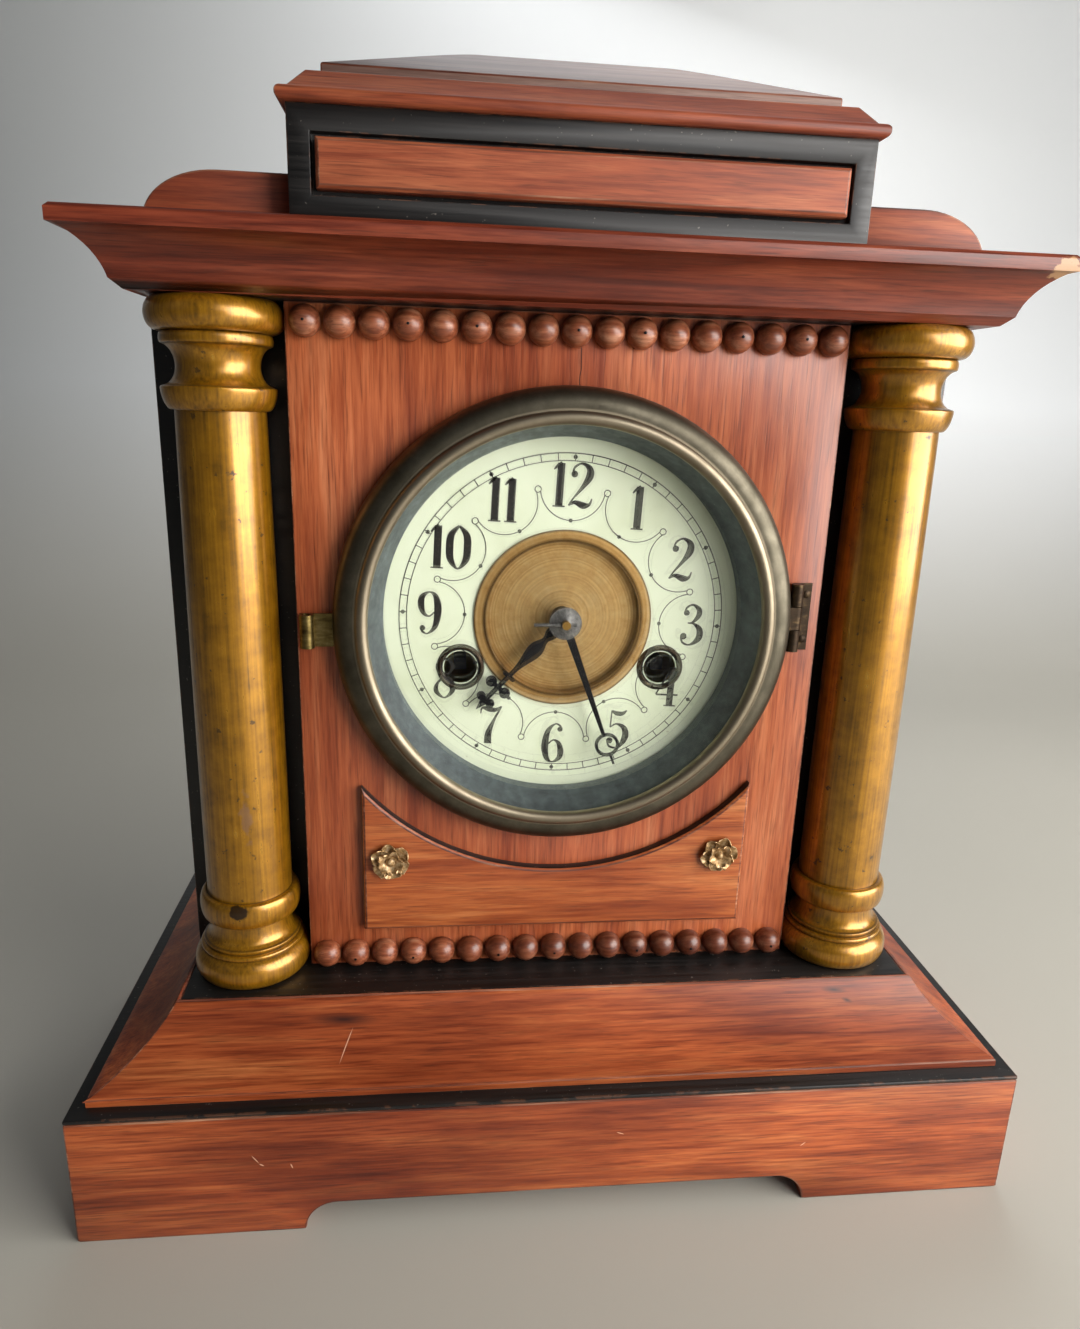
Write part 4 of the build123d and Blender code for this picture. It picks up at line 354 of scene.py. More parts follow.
# painted shade: dark rings at the groove and at the rim stand for the shadow of the dish's recess
paintedGrooveShade = add("ValToRGB", {"stops": ((0.0, "#ffffff"), (0.84, "#efe8dc"), (0.885, "#4a3a28"),
                                    (0.915, "#e8dcc8"), (0.97, "#fff8ec"), (1.0, "#5a4a36"))}, {"Fac": share})
ringedAndShaded = add("Mix", {"data_type": "RGBA", "blend_type": "MULTIPLY", 0: 1.0}, {6: tone, 7: paintedGrooveShade})
wire(skin, {"Base Color": ringedAndShaded})

plateBrass = metal("brassMovementRolled", {      # rolled clock brass, fairly bright with brushing marks
    "metallic": 1.0, "blotch": 16.0, "brush": (40.0, 1.0, 0.8), "share": 0.5, "rough": 0.34, "relief": 0.08,
    "tones": ("#8a6a34", "#b38d4a", "#cba964")})[0]
hingeBrass = metal("brassFittingAged", {         # aged fittings: dull yellow-brown
    "metallic": 1.0, "blotch": 5.0, "brush": (6.0, 6.0, 1.0), "share": 0.4, "rough": 0.45, "relief": 0.1,
    "tones": ("#423624", "#66563a", "#85734f")})[0]
hingeDark = metal("brassHingeDarkened", {        # brown-black skin, brass only where it rubs
    "metallic": 0.8, "blotch": 3.0, "brush": (4.0, 4.0, 1.0), "share": 0.4, "rough": 0.45, "relief": 0.12,
    "places": (0.3, 0.55, 0.78), "tones": ("#1d1712", "#3a2d20", "#7a6444")})[0]
tabBrass = metal("brassTabRubbed", {             # thumbed bright: yellow with brown rims
    "metallic": 1.0, "blotch": 4.0, "brush": (5.0, 5.0, 1.0), "share": 0.4, "rough": 0.38, "relief": 0.1,
    "tones": ("#40341c", "#75653c", "#a08e60")})[0]
rosetteGilt = metal("brassStampedGilt", {        # thin stamped brass, gilt, mottled from dark brown to pale tan in small blotches
    "metallic": 0.5, "blotch": 1.6, "brush": (1.5, 1.5, 1.5), "share": 0.3, "rough": 0.4, "relief": 0.3,
    "places": (0.32, 0.48, 0.68), "tones": ("#4a3320", "#a88658", "#e0c8a2")})[0]
greySteel = metal("steelTurned", {               # plain turned steel: cool grey with fine rings
    "metallic": 1.0, "blotch": 6.0, "brush": (5.0, 0.6, 5.0), "share": 0.5, "rough": 0.36, "relief": 0.06,
    "tones": ("#5d5d5c", "#84847f", "#a3a39c")})[0]
colletSteel = metal("steelColletDull", {         # oxidised washer: matt mid grey, darker in clouds
    "metallic": 0.8, "blotch": 2.5, "brush": (1.0, 1.0, 1.0), "share": 0.4, "rough": 0.56, "relief": 0.25,
    "tones": ("#3c3936", "#6a6967", "#94928d")})[0]
darkSteel = metal("steelHandBlackened", {        # heat-blackened sheet steel, almost black
    "metallic": 0.7, "blotch": 4.0, "brush": (3.0, 3.0, 3.0), "share": 0.3, "rough": 0.42, "relief": 0.05,
    "tones": ("#0d0d0e", "#17171a", "#26262b")})[0]
springSteel = metal("steelSpringTempered", {     # tempered strip: dark blue-grey
    "metallic": 1.0, "blotch": 12.0, "brush": (30.0, 1.0, 30.0), "share": 0.4, "rough": 0.36, "relief": 0.05,
    "tones": ("#33363c", "#4b4f57", "#666a72")})[0]
sightMetal = metal("zincSightRingGrey", {        # oxidised sheet: flat slate grey
    "metallic": 0.6, "blotch": 5.0, "brush": (2.0, 2.0, 2.0), "share": 0.3, "rough": 0.36, "relief": 0.06,
    "tones": ("#474d52", "#5a6268", "#707980")})[0]
panSteel = metal("steelPanTinned", {             # tinned sheet: soft dull grey
    "metallic": 1.0, "blotch": 10.0, "brush": (6.0, 6.0, 6.0), "share": 0.3, "rough": 0.46, "relief": 0.06,
    "tones": ("#4f4f4c", "#6d6d68", "#8a8a83")})[0]

# Painted zinc dial: smooth cream-green coat, a little clouded and foxed
creamDial, skin, where, add = newFinish("zincDialPainted", {
    "IOR": 1.5, "Coat Weight": 0.1, "Coat Roughness": 0.3})
stain = add("TexNoise", {"Scale": 1000 / 38, "Detail": 5.0, "Roughness": 0.6}, {"Vector": where})
coat = add("ValToRGB", {"stops": ((0.3, "#d3dcba"), (0.5, "#e4edd0"), (0.7, "#eaf3d8"))}, {"Fac": stain})
fleck = add("TexNoise", {"Scale": 1000 / 1.5, "Detail": 2.0}, {"Vector": where})
spots = add("MapRange", {"From Min": 0.71, "From Max": 0.76, "To Max": 0.5}, {"Value": fleck})
foxed = add("Mix", {"data_type": "RGBA", 7: toneOf("#8a7a55")}, {0: spots, 6: coat})
gloss = add("MapRange", {"To Min": 0.34, "To Max": 0.5}, {"Value": stain})
wire(skin, {"Base Color": foxed, "Roughness": gloss})

# Printed dial ink: matt brown-black, thin in places
dialInk, skin, where, add = newFinish("dialInkPrinted", {"Roughness": 0.6, "IOR": 1.45})
thin = add("TexNoise", {"Scale": 1000 / 1.2, "Detail": 3.0}, {"Vector": where})
inkTone = add("ValToRGB", {"stops": ((0.35, "#14120f"), (0.6, "#221e19"), (0.8, "#4a4538"))}, {"Fac": thin})
wire(skin, {"Base Color": inkTone})

# Flat drawn glass: clear, faintly green, with a weak sheen
clearGlass, skin, where, add = newFinish("glassFlatClear", {
    "Transmission Weight": 1.0, "IOR": 1.45, "Alpha": 0.1})
ripple = add("TexNoise", {"Scale": 1000 / 45, "Detail": 1.0}, {"Vector": where})
glassTone = add("ValToRGB", {"stops": ((0.3, "#f2f7f2"), (0.7, "#fbfdfb"))}, {"Fac": ripple})
haze = add("MapRange", {"To Min": 0.02, "To Max": 0.05}, {"Value": ripple})
wire(skin, {"Base Color": glassTone, "Roughness": haze})
print("finishes ready:", len(bpy.data.materials))

# Case: each board is the CAD solid with its arrises eased and worn
easing = {"merge": 0.002, "flat": 0.5, "segments": 2, "sharp": 38}    # mm and degrees


def easedCopy(node, finish, ease, edgeFinish):
    bm = bmesh.new()
    bm.from_mesh(nodes[node].data)
    bmesh.ops.remove_doubles(bm, verts=bm.verts[:], dist=easing["merge"] * mm)
    bmesh.ops.dissolve_limit(bm, angle_limit=radians(easing["flat"]), verts=bm.verts[:], edges=bm.edges[:])
    mesh = bpy.data.meshes.new(node + "Eased")
    bm.to_mesh(mesh)
    bm.free()
    if "custom_normal" in mesh.attributes:
        mesh.attributes.remove(mesh.attributes["custom_normal"])
    dress(mesh, finish, edgeFinish)
    raw = bpy.data.objects.new(node + "Raw", mesh)
    sceneObjects.link(raw)
    bevel = raw.modifiers.new("easedArris", "BEVEL")
    bevel.width = ease * mm
    bevel.segments = easing["segments"]
    bevel.limit_method = "ANGLE"
    bevel.angle_limit = radians(easing["sharp"])
    bevel.material = 1
    eased = frozen(raw)
    bpy.data.objects.remove(raw)
    smooth(eased)
    return addPiece(node + "_eased", eased, nodes[node]["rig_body"], (node,))


boards = {    # node: face finish, slot, arris in mm, arris finish
    "plinth_front_board": (plinthMahogany, "mahogany", 0.7, mahoganyEdge),
    "plinth_side_boards": (sideMahogany, "mahogany", 0.7, mahoganyEdge),
    "base_board": (blackWood, "ebonised_wood", 0.6, blackEdge),
    "base_moulding": (plinthMahogany, "mahogany", 0.4, mahoganyEdge),
    "front_board": (blackWood, "ebonised_wood", 0.5, blackEdge),
    "case_side_boards": (blackWood, "ebonised_wood", 0.6, blackEdge),
    "front_panel": (panelMahogany, "mahogany", 0.5, mahoganyEdge),
    "cornice_moulding": (corniceMahogany, "mahogany", 0.4, corniceMahogany),
    "shoulder_blocks": (topMahogany, "mahogany", 0.6, mahoganyEdge),
    "attic_box": (blackWood, "ebonised_wood", 0.35, blackEdge),
    "attic_inlay": (topMahogany, "mahogany", 0.3, mahoganyEdge),
    "attic_cap": (topMahogany, "mahogany", 0.4, mahoganyEdge),
    "attic_roof": (roofMahoganyDustAndSheen, "mahogany", 0.5, mahoganyEdge),
    "back_board": (stainedPine, "stained_softwood", 0.5, stainedPine),
    "back_door": (stainedPine, "stained_softwood", 0.5, stainedPine),
}
for node, (finish, slot, ease, edgeFinish) in boards.items():
    easedCopy(node, finish, ease, edgeFinish)

# The apron's face is veneered and its edges are blackened
apronEdge = -0.6    # faces that look forward less than this are edge
apron = easedCopy("apron_panel", apronMahogany, 0.35, mahoganyEdge)
apron.data.materials.append(blackWood)
for face in apron.data.polygons:
    if face.normal.y > apronEdge:
        face.material_index = 2
print("case boards eased:", len(boards) + 1)


# One tree puts a small source piece on every point of a host mesh
def pointTree():
    tree = bpy.data.node_groups.new("placeOnPoints", "GeometryNodeTree")
    add = partial(addNode, tree)
    inputs = (("Points", "Geometry"), ("Source", "Object"), ("Centre", "Vector"), ("Turn", "Float"),
              ("Spread", "Float"), ("Seed", "Int"), ("Finish", "Material"))
    for name, kind in inputs:
        tree.interface.new_socket(name, in_out="INPUT", socket_type="NodeSocket" + kind)
    tree.interface.new_socket("Geometry", in_out="OUTPUT", socket_type="NodeSocketGeometry")
    given = add("NodeGroupInput").outputs
    spots = add("GeometryNodeMeshToPoints", {}, {"Mesh": given["Points"]})
    here = add("GeometryNodeInputPosition")
    fromMiddle = add("VectorMath", {"operation": "SUBTRACT"}, {0: here, 1: given["Centre"]})
    parts = add("SeparateXYZ", {}, {0: fromMiddle}).outputs
    angle = add("Math", {"operation": "ARCTAN2"}, {0: parts[0], 1: parts[2]})
    turned = add("Math", {"operation": "MULTIPLY"}, {0: angle, 1: given["Turn"]})
    turn = add("CombineXYZ", {}, {1: turned})
    low = add("Math", {"operation": "SUBTRACT", 0: 1.0}, {1: given["Spread"]})
    high = add("Math", {"operation": "ADD", 0: 1.0}, {1: given["Spread"]})
    size = add("FunctionNodeRandomValue", {"data_type": "FLOAT"}, {2: low, 3: high, "Seed": given["Seed"]})
    source = add("GeometryNodeObjectInfo", {}, {"Object": given["Source"]})
    copies = add("GeometryNodeInstanceOnPoints", {}, {
        "Points": spots, "Instance": source.outputs["Geometry"], "Rotation": turn, "Scale": size})
    real = add("GeometryNodeRealizeInstances", {}, {0: copies})
    done = add("GeometryNodeSetMaterial", {}, {"Geometry": real, "Material": given["Finish"]})
    add("NodeGroupOutput", {}, {0: done})
    return tree


placeTree = pointTree()


def placeCopies(source, points, finish, turn=0.0, spread=0.0, seed=1, centre=(0, 0, 0)):
    sourceObject = bpy.data.objects.new("copySource", source)
    hostMesh = bpy.data.meshes.new("copyPoints")
    hostMesh.from_pydata([tuple(p) for p in points], [], [])
    host = bpy.data.objects.new("copyHost", hostMesh)
    for item in (sourceObject, host):
        sceneObjects.link(item)
    modifier = host.modifiers.new("place", "NODES")
    modifier.node_group = placeTree
    values = {"Source": sourceObject, "Centre": centre, "Turn": turn, "Spread": spread, "Seed": seed,
              "Finish": finish}
    for item in placeTree.interface.items_tree:
        if item.in_out == "INPUT" and item.name in values:
            modifier[item.identifier] = values[item.name]
    mesh = frozen(host)
    for item in (sourceObject, host):
        bpy.data.objects.remove(item)
    dress(mesh, finish)
    return mesh


def meshFrom(bm, name, finish=None):
    mesh = bpy.data.meshes.new(name)
    bm.to_mesh(mesh)
    bm.free()
    if finish:
        mesh.materials.append(finish)
    return mesh


def skinRings(bm, rings):
    for ringA, ringB in zip(rings, rings[1:]):
        for i in range(len(ringA)):
            j = (i + 1) % len(ringA)
            bm.faces.new(list(dict.fromkeys((ringA[i], ringA[j], ringB[j], ringB[i]))))


def skinStrip(bm, pairs):
    for (a, b), (c, d) in zip(pairs, pairs[1:]):
        bm.faces.new((a, b, d, c))


def turnedProfile(profile, steps, name):
    # Round piece about Y from (radius, y) pairs in mm, closed at the axis where a radius is nought
    bm = bmesh.new()
    turns = [(sin(2 * pi * i / steps), cos(2 * pi * i / steps)) for i in range(steps)]
    rings = []
    for radius, depth in profile:
        if radius < 1e-6:
            rings.append([bm.verts.new((0, depth * mm, 0))] * steps)
        else:
            rings.append([bm.verts.new((radius * mm * x, depth * mm, radius * mm * z)) for x, z in turns])
    skinRings(bm, rings)
    bmesh.ops.recalc_face_normals(bm, faces=bm.faces[:])
    return meshFrom(bm, name)


def joined(meshes, name):
    bm = bmesh.new()
    finishes = []
    for mesh in meshes:
        first = len(bm.faces)
        bm.from_mesh(mesh)
        bm.faces.ensure_lookup_table()
        finish = mesh.materials[0]
        if finish not in finishes:
            finishes.append(finish)
        for face in bm.faces[first:]:
            face.material_index = finishes.index(finish)
    whole = meshFrom(bm, name)
    for finish in finishes:
        whole.materials.append(finish)
    return whole


def ringOf(middle, radius, count, start):
    angles = [radians(start + 360 / count * i) for i in range(count)]
    return [(middle[0] + radius * mm * sin(a), middle[1], middle[2] + radius * mm * cos(a)) for a in angles]


# Bead rows: turned half balls, some with a punched nail
beads = {"radius": 5.1, "pitch": 10.75, "count": 17, "sink": 1.2, "inset": 5.3, "rings": 8, "reach": 103,
         "steps": 20, "spread": 0.012, "seed": 5, "nail": [(0, -0.25), (0.4, -0.16), (0.52, 0.1), (0, 0.5)]}
beadLow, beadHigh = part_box("bead_rows")
profile = [(0, -beads["radius"])]
for step in range(1, beads["rings"] + 1):
    lean = step / beads["rings"] * radians(beads["reach"])
    profile.append((beads["radius"] * sin(lean), -beads["radius"] * cos(lean)))
profile.append((0, profile[-1][1]))
beadMesh = turnedProfile(profile, beads["steps"], "bead")
rowPoints = []
for rowZ in (beadHigh.z - beads["inset"] * mm, beadLow.z + beads["inset"] * mm):
    for i in range(beads["count"]):
        x = (i - (beads["count"] - 1) / 2) * beads["pitch"] * mm
        rowPoints.append((x, panelFace - beads["sink"] * mm, rowZ))
balls = placeCopies(beadMesh, rowPoints, beadMahogany, spread=beads["spread"], seed=beads["seed"])
smooth(balls, 50)
nailMesh = turnedProfile(beads["nail"], 10, "beadPin")
nailed = [p for i, p in enumerate(rowPoints) if (i * 7 + i // 5) % 3 == 0]    # about every third, unevenly
nails = placeCopies(nailMesh, [(x, y - beads["radius"] * mm, z) for x, y, z in nailed], darkSteel)
addPiece("beadRows", joined((balls, nails), "beadRows"), "case", ("bead_rows",))

# Rosettes: two rings of cupped petals round a boss, stamped in thin sheet and crumpled
# Petals of a ring: count, length, half width, rise, cup, turn, stand-off
rosette = {"radius": 7.4, "sheet": 0.35, "crumple": 0.4, "crease": 420, "seed": 7, "boss": 1.7,
           "spread": 0.07, "petals": ((6, 5.9, 2.9, 1.5, 1.7, 17, 0.4), (5, 3.8, 2.1, 2.6, 1.5, 31, 1.0))}
rosLow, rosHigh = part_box("apron_rosettes")
rosBack = rosHigh.y


def petalMesh(length, half, rise, cup):
    bm = bmesh.new()
    rows = []
    for i in range(9):
        share = i / 8
        reach = half * sqrt(1 - ((share - 0.6) / 0.62) ** 2)    # widest past the middle
        row = []
        for j in range(-3, 4):
            aside = j / 3
            lift = rise * share * (1.4 - 0.7 * share) + cup * aside ** 2 * share
            long = length * share * (1 - 0.2 * aside ** 2)
            row.append(bm.verts.new((reach * aside * mm, -lift * mm, long * mm)))
        rows.append(row)
    for rowA, rowB in zip(rows, rows[1:]):
        for j in range(6):
            bm.faces.new((rowA[j], rowA[j + 1], rowB[j + 1], rowB[j]))
    bmesh.ops.recalc_face_normals(bm, faces=bm.faces[:])
    bmesh.ops.solidify(bm, geom=bm.faces[:], thickness=rosette["sheet"] * mm)
    bmesh.ops.recalc_face_normals(bm, faces=bm.faces[:])

    def byCorners(part):
        return sum(k * len(bm.verts) ** n for n, k in enumerate(sorted(v.index for v in part.verts)))

    bm.verts.index_update()
    bm.edges.sort(key=byCorners)    # solidify lists the rim in another order at each run
    bm.faces.sort(key=byCorners)
    return meshFrom(bm, "petal")


def flower(x, z, seed):
    parts = []
    for count, length, half, rise, cup, turn, out in rosette["petals"]:
        centre = (x * mm, rosBack - out * mm, z * mm)
        petal = petalMesh(length, half, rise, cup)
        ring = ringOf(centre, 1.0, count, seed * turn)
        parts.append(placeCopies(petal, ring, rosetteGilt, 1.0, rosette["spread"], seed, centre))
    wide = rosette["boss"]
    boss = turnedProfile([(0, -1.9), (0.9, -1.7), (wide, -0.8), (wide, 1.4), (0, 1.4)], 14, "boss")
    parts.append(placeCopies(boss, [(x * mm, rosBack - 1.6 * mm, z * mm)], rosetteGilt))
    return joined(parts, "flower")


rosX = (rosHigh.x - rosette["radius"] * mm) / mm
rosZ = (rosLow.z + rosHigh.z) / 2 / mm
flowers = joined([flower(-rosX, rosZ, 3), flower(rosX, rosZ, 8)], "rosettes")
noise.seed_set(rosette["seed"])    # the same crumples at every run
for vert in flowers.vertices:
    vert.co += noise.noise_vector(vert.co * rosette["crease"]) * rosette["crumple"] * mm
    vert.co.y = min(vert.co.y, rosBack)
smooth(flowers, 60)
addPiece("apronRosettes", flowers, "case", ("apron_rosettes",))
print("beads and rosettes placed")


def curveThrough(points, steps):
    fine = []    # smooth line through a few points
    last = len(points) - 1
    for i in range(last):
        a, b, c, d = (points[max(0, min(last, i + k))] for k in (-1, 0, 1, 2))
        for step in range(steps):
            t = step / steps
            fine.append([0.5 * (2 * q + (r - p) * t + (2 * p - 5 * q + 4 * r - s) * t * t
                                + (3 * q - p - 3 * r + s) * t ** 3) for p, q, r, s in zip(a, b, c, d)])
    fine.append(list(points[-1]))
    return fine


# Dial print: strokes drawn as ribbons whose width swells along them
def ribbon(bm, strokes, place):
    fine = curveThrough(strokes, 8)
    pairs = []
    for i, (x, y, width) in enumerate(fine):
        before, after = fine[max(0, i - 1)], fine[min(len(fine) - 1, i + 1)]
        heading = Vector((after[0] - before[0], after[1] - before[1])).normalized()
        side = Vector((-heading.y, heading.x)) * width / 2
        pairs.append([bm.verts.new(place(x + k * side.x, y + k * side.y)) for k in (1, -1)])
    skinStrip(bm, pairs)


def dot(bm, x, y, radius, place, steps=16):
    angles = [2 * pi * i / steps for i in range(steps)]
    bm.faces.new([bm.verts.new(place(x + radius * cos(a), y + radius * sin(a))) for a in angles])


# Bold numerals with thick stems and hairlines, in shares of their height:
# strokes of (x, y, width), then ball ends of (x, y, radius)
digits = {
    "0": ([[(0.28, 0.985, 0.045), (0.45, 0.78, 0.15), (0.48, 0.5, 0.17), (0.45, 0.22, 0.15),
            (0.28, 0.015, 0.045), (0.11, 0.22, 0.15), (0.08, 0.5, 0.17), (0.11, 0.78, 0.15),
            (0.28, 0.985, 0.045)]], []),
    "1": ([[(0.17, 0.02, 0.17), (0.17, 0.97, 0.17)],
           [(0.01, 0.82, 0.03), (0.08, 0.9, 0.06), (0.18, 0.985, 0.05)],
           [(0.03, 0.015, 0.035), (0.31, 0.015, 0.035)]], []),
    "2": ([[(0.08, 0.76, 0.04), (0.12, 0.9, 0.05), (0.28, 0.985, 0.05), (0.45, 0.88, 0.14),
            (0.46, 0.7, 0.17), (0.32, 0.46, 0.09), (0.13, 0.21, 0.04), (0.03, 0.04, 0.04)],
           [(0.03, 0.05, 0.04), (0.17, 0.12, 0.09), (0.36, 0.06, 0.15), (0.5, 0.09, 0.07),
            (0.55, 0.22, 0.03)]],
          [(0.12, 0.745, 0.075)]),
    "3": ([[(0.1, 0.8, 0.04), (0.14, 0.92, 0.05), (0.28, 0.985, 0.05), (0.43, 0.88, 0.12),
            (0.43, 0.72, 0.12), (0.3, 0.56, 0.05), (0.19, 0.545, 0.035)],
           [(0.19, 0.545, 0.035), (0.34, 0.53, 0.05), (0.49, 0.4, 0.14), (0.49, 0.18, 0.15),
            (0.3, 0.02, 0.05), (0.12, 0.06, 0.05), (0.06, 0.2, 0.04)]],
          [(0.14, 0.79, 0.07), (0.12, 0.22, 0.08)]),
    "4": ([[(0.37, 0.02, 0.16), (0.37, 0.98, 0.16)],
           [(0.36, 0.98, 0.05), (0.02, 0.3, 0.04)],
           [(0.02, 0.29, 0.045), (0.56, 0.29, 0.045)],
           [(0.24, 0.015, 0.035), (0.52, 0.015, 0.035)]], []),
    "5": ([[(0.12, 0.96, 0.05), (0.24, 0.9, 0.11), (0.38, 0.9, 0.1), (0.48, 0.98, 0.03)],
           [(0.12, 0.97, 0.035), (0.11, 0.54, 0.035)],
           [(0.11, 0.54, 0.03), (0.26, 0.63, 0.05), (0.46, 0.52, 0.13), (0.49, 0.28, 0.16),
            (0.34, 0.03, 0.06), (0.13, 0.05, 0.05), (0.06, 0.19, 0.04)]],
          [(0.12, 0.2, 0.08)]),
    "6": ([[(0.47, 0.86, 0.04), (0.42, 0.95, 0.05), (0.3, 0.985, 0.04), (0.14, 0.8, 0.12),
            (0.09, 0.42, 0.17), (0.15, 0.12, 0.12), (0.29, 0.015, 0.04), (0.45, 0.12, 0.12),
            (0.48, 0.3, 0.15), (0.42, 0.5, 0.1), (0.29, 0.58, 0.04), (0.17, 0.48, 0.04)]],
          [(0.43, 0.86, 0.065)]),
    "7": ([[(0.04, 0.78, 0.03), (0.07, 0.92, 0.05), (0.22, 0.9, 0.13), (0.38, 0.88, 0.1), (0.53, 0.97, 0.04)],
           [(0.52, 0.96, 0.04), (0.36, 0.62, 0.07), (0.25, 0.3, 0.15), (0.24, 0.03, 0.18)]], []),
    "8": ([[(0.29, 0.985, 0.04), (0.12, 0.82, 0.11), (0.17, 0.64, 0.13), (0.4, 0.42, 0.16),
            (0.47, 0.2, 0.12), (0.29, 0.015, 0.04), (0.09, 0.18, 0.11), (0.14, 0.4, 0.06),
            (0.38, 0.62, 0.05), (0.45, 0.82, 0.09), (0.29, 0.985, 0.04)]], []),
}
sixStrokes, sixBalls = digits["6"]
digits["9"] = ([[(0.56 - x, 1 - y, w) for x, y, w in sixStrokes[0]]],
               [(0.56 - x, 1 - y, r) for x, y, r in sixBalls])
advance = {figure: 0.36 if figure == "1" else 0.58 for figure in digits}

dialPrint = {"numeralRadius": 47.4, "numeralHeight": 15.4, "turn": 2.3, "lift": 0.05, "trackOuter": 58.2,
             "trackInner": 55.6, "outerLine": 0.36, "innerLine": 0.3, "hairline": 0.34, "tickHalf": 1.3,
             "arcMiddle": 46.6, "arcRadius": 11.4, "arcFrom": 100, "arcTo": 260, "ringAt": 46.9,
             "ringRadius": 1.1, "dropAt": 35.2, "dropRadius": 0.7, "fiveDot": 0.75}
inkY = dialFace - dialPrint["lift"] * mm
middle = (dialX, inkY, dialZ)


def onDial(x, y):
    return (dialX + x * mm, inkY, dialZ + y * mm)


def atOrigin(x, y):
    return (x * mm, 0, y * mm)


def circleLine(bm, radius, width, steps=120, start=0.0, end=2 * pi, place=onDial):
    pairs = []
    for i in range(steps + 1):
        angle = start + (end - start) * i / steps
        pairs.append([bm.verts.new(place(r * sin(angle), r * cos(angle)))
                      for r in (radius - width / 2, radius + width / 2)])
    skinStrip(bm, pairs)


bm = bmesh.new()
size = dialPrint["numeralHeight"]
for hour in range(1, 13):
    angle = radians(30 * hour)
    text = str(hour)
    left = dialPrint["numeralRadius"] * sin(angle) - sum(advance[figure] for figure in text) * size / 2
    low = dialPrint["numeralRadius"] * cos(angle) - size / 2
    for figure in text:
        strokes, ends = digits[figure]
        for stroke in strokes:
            ribbon(bm, [(left + x * size, low + y * size, w * size) for x, y, w in stroke], onDial)
        for x, y, r in ends:
            dot(bm, left + x * size, low + y * size, r * size, onDial)
        left += advance[figure] * size
circleLine(bm, dialPrint["trackOuter"], dialPrint["outerLine"])
circleLine(bm, dialPrint["trackInner"], dialPrint["innerLine"])
printed = [meshFrom(bm, "dialFigures", dialInk)]


def drawTick(bm):
    half, line = dialPrint["tickHalf"], dialPrint["hairline"]
    ribbon(bm, [(0, -half, line), (0, half, line)], atOrigin)


def drawFiveDot(bm):
    dot(bm, 0, 0, dialPrint["fiveDot"], atOrigin, 12)


def drawSwag(bm):
    circleLine(bm, dialPrint["arcRadius"], dialPrint["hairline"], 28, radians(dialPrint["arcFrom"]),
               radians(dialPrint["arcTo"]), atOrigin)
    dot(bm, 0, dialPrint["dropAt"] - dialPrint["arcMiddle"], dialPrint["dropRadius"], atOrigin, 12)


def drawSwagRing(bm):
    circleLine(bm, dialPrint["ringRadius"], dialPrint["hairline"], 16, place=atOrigin)


trackMiddle = (dialPrint["trackInner"] + dialPrint["trackOuter"]) / 2
for draw, at, count, start in ((drawTick, trackMiddle, 60, 0), (drawFiveDot, trackMiddle, 12, 0),
                               (drawSwag, dialPrint["arcMiddle"], 12, 0),
                               (drawSwagRing, dialPrint["ringAt"], 12, 15)):
    bm = bmesh.new()
    draw(bm)
    places = ringOf(middle, at, count, start)
    printed.append(placeCopies(meshFrom(bm, "dialMark"), places, dialInk, 1.0, centre=middle))
printMesh = joined(printed, "dialPrint")
turn = Matrix.Rotation(radians(dialPrint["turn"]), 4, "Y")    # the real print sits a little askew
printMesh.transform(Matrix.Translation(middle) @ turn @ Matrix.Translation(-Vector(middle)))
for face in printMesh.polygons:
    if face.normal.y > 0:
        face.flip()
addPiece("dialPrint", printMesh, "case")

# Grommets round the winding holes
grommet = {"hole": 6.1, "cup": 7.0, "outer": 8.6, "rise": 0.9, "x": 36.5, "drop": 18.0, "steps": 40}
hole, cup, outer, lift = (grommet[key] for key in ("hole", "cup", "outer", "rise"))
cupMesh = turnedProfile([(hole, 0.8), (hole, 0.3), (cup, 0.2 - lift), (cup, 0.8), (hole, 0.8)],
                        grommet["steps"], "grommetCup")
rimMesh = turnedProfile([(cup, 0.6), (cup, 0.2 - lift), (cup + 0.4, -lift), (outer - 0.6, 0.2 - lift),
                         (outer, 0.0), (cup, 0.6)], grommet["steps"], "grommetRim")
holes = [(dialX + side * grommet["x"] * mm, dialFace, dialZ - grommet["drop"] * mm) for side in (-1, 1)]
collars = joined((placeCopies(cupMesh, holes, darkSteel), placeCopies(rimMesh, holes, hingeDark)), "grommets")
smooth(collars, 40)
addPiece("windingGrommets", collars, "case")
print("dial printed")

# Columns: turned base, shaft and capital, each outline a list of runs of (radius, height) in mm
# near each joint between the mouldings the gilt is darkened within a reach in mm and by a share: wax dirt
# with painted shade in the grooves
column = {"steps": 96, "fine": 4, "grimeAndShadeReach": 0.75, "grime": 0.85, "widest": 21.2}
baseRuns = [[(17.6, 0.0), (19.6, 1.0), (20.8, 3.4), (21.0, 5.8), (20.6, 8.2), (19.4, 10.2), (18.2, 11.2)],
            [(18.0, 11.3), (18.5, 11.7), (18.6, 12.4), (18.2, 13.0), (17.4, 13.2)],
            [(17.0, 13.3), (17.3, 14.0), (17.4, 14.6), (16.9, 15.0)],
            [(16.9, 15.0), (15.6, 15.9), (14.8, 17.4), (14.3, 19.4), (14.05, 21.6), (14.0, 23.1)],
            [(14.4, 23.2), (16.2, 23.4), (17.1, 24.2), (17.6, 25.8), (17.9, 28.0), (17.8, 30.4), (17.3, 32.2),
             (16.6, 33.0), (15.2, 33.2)]]
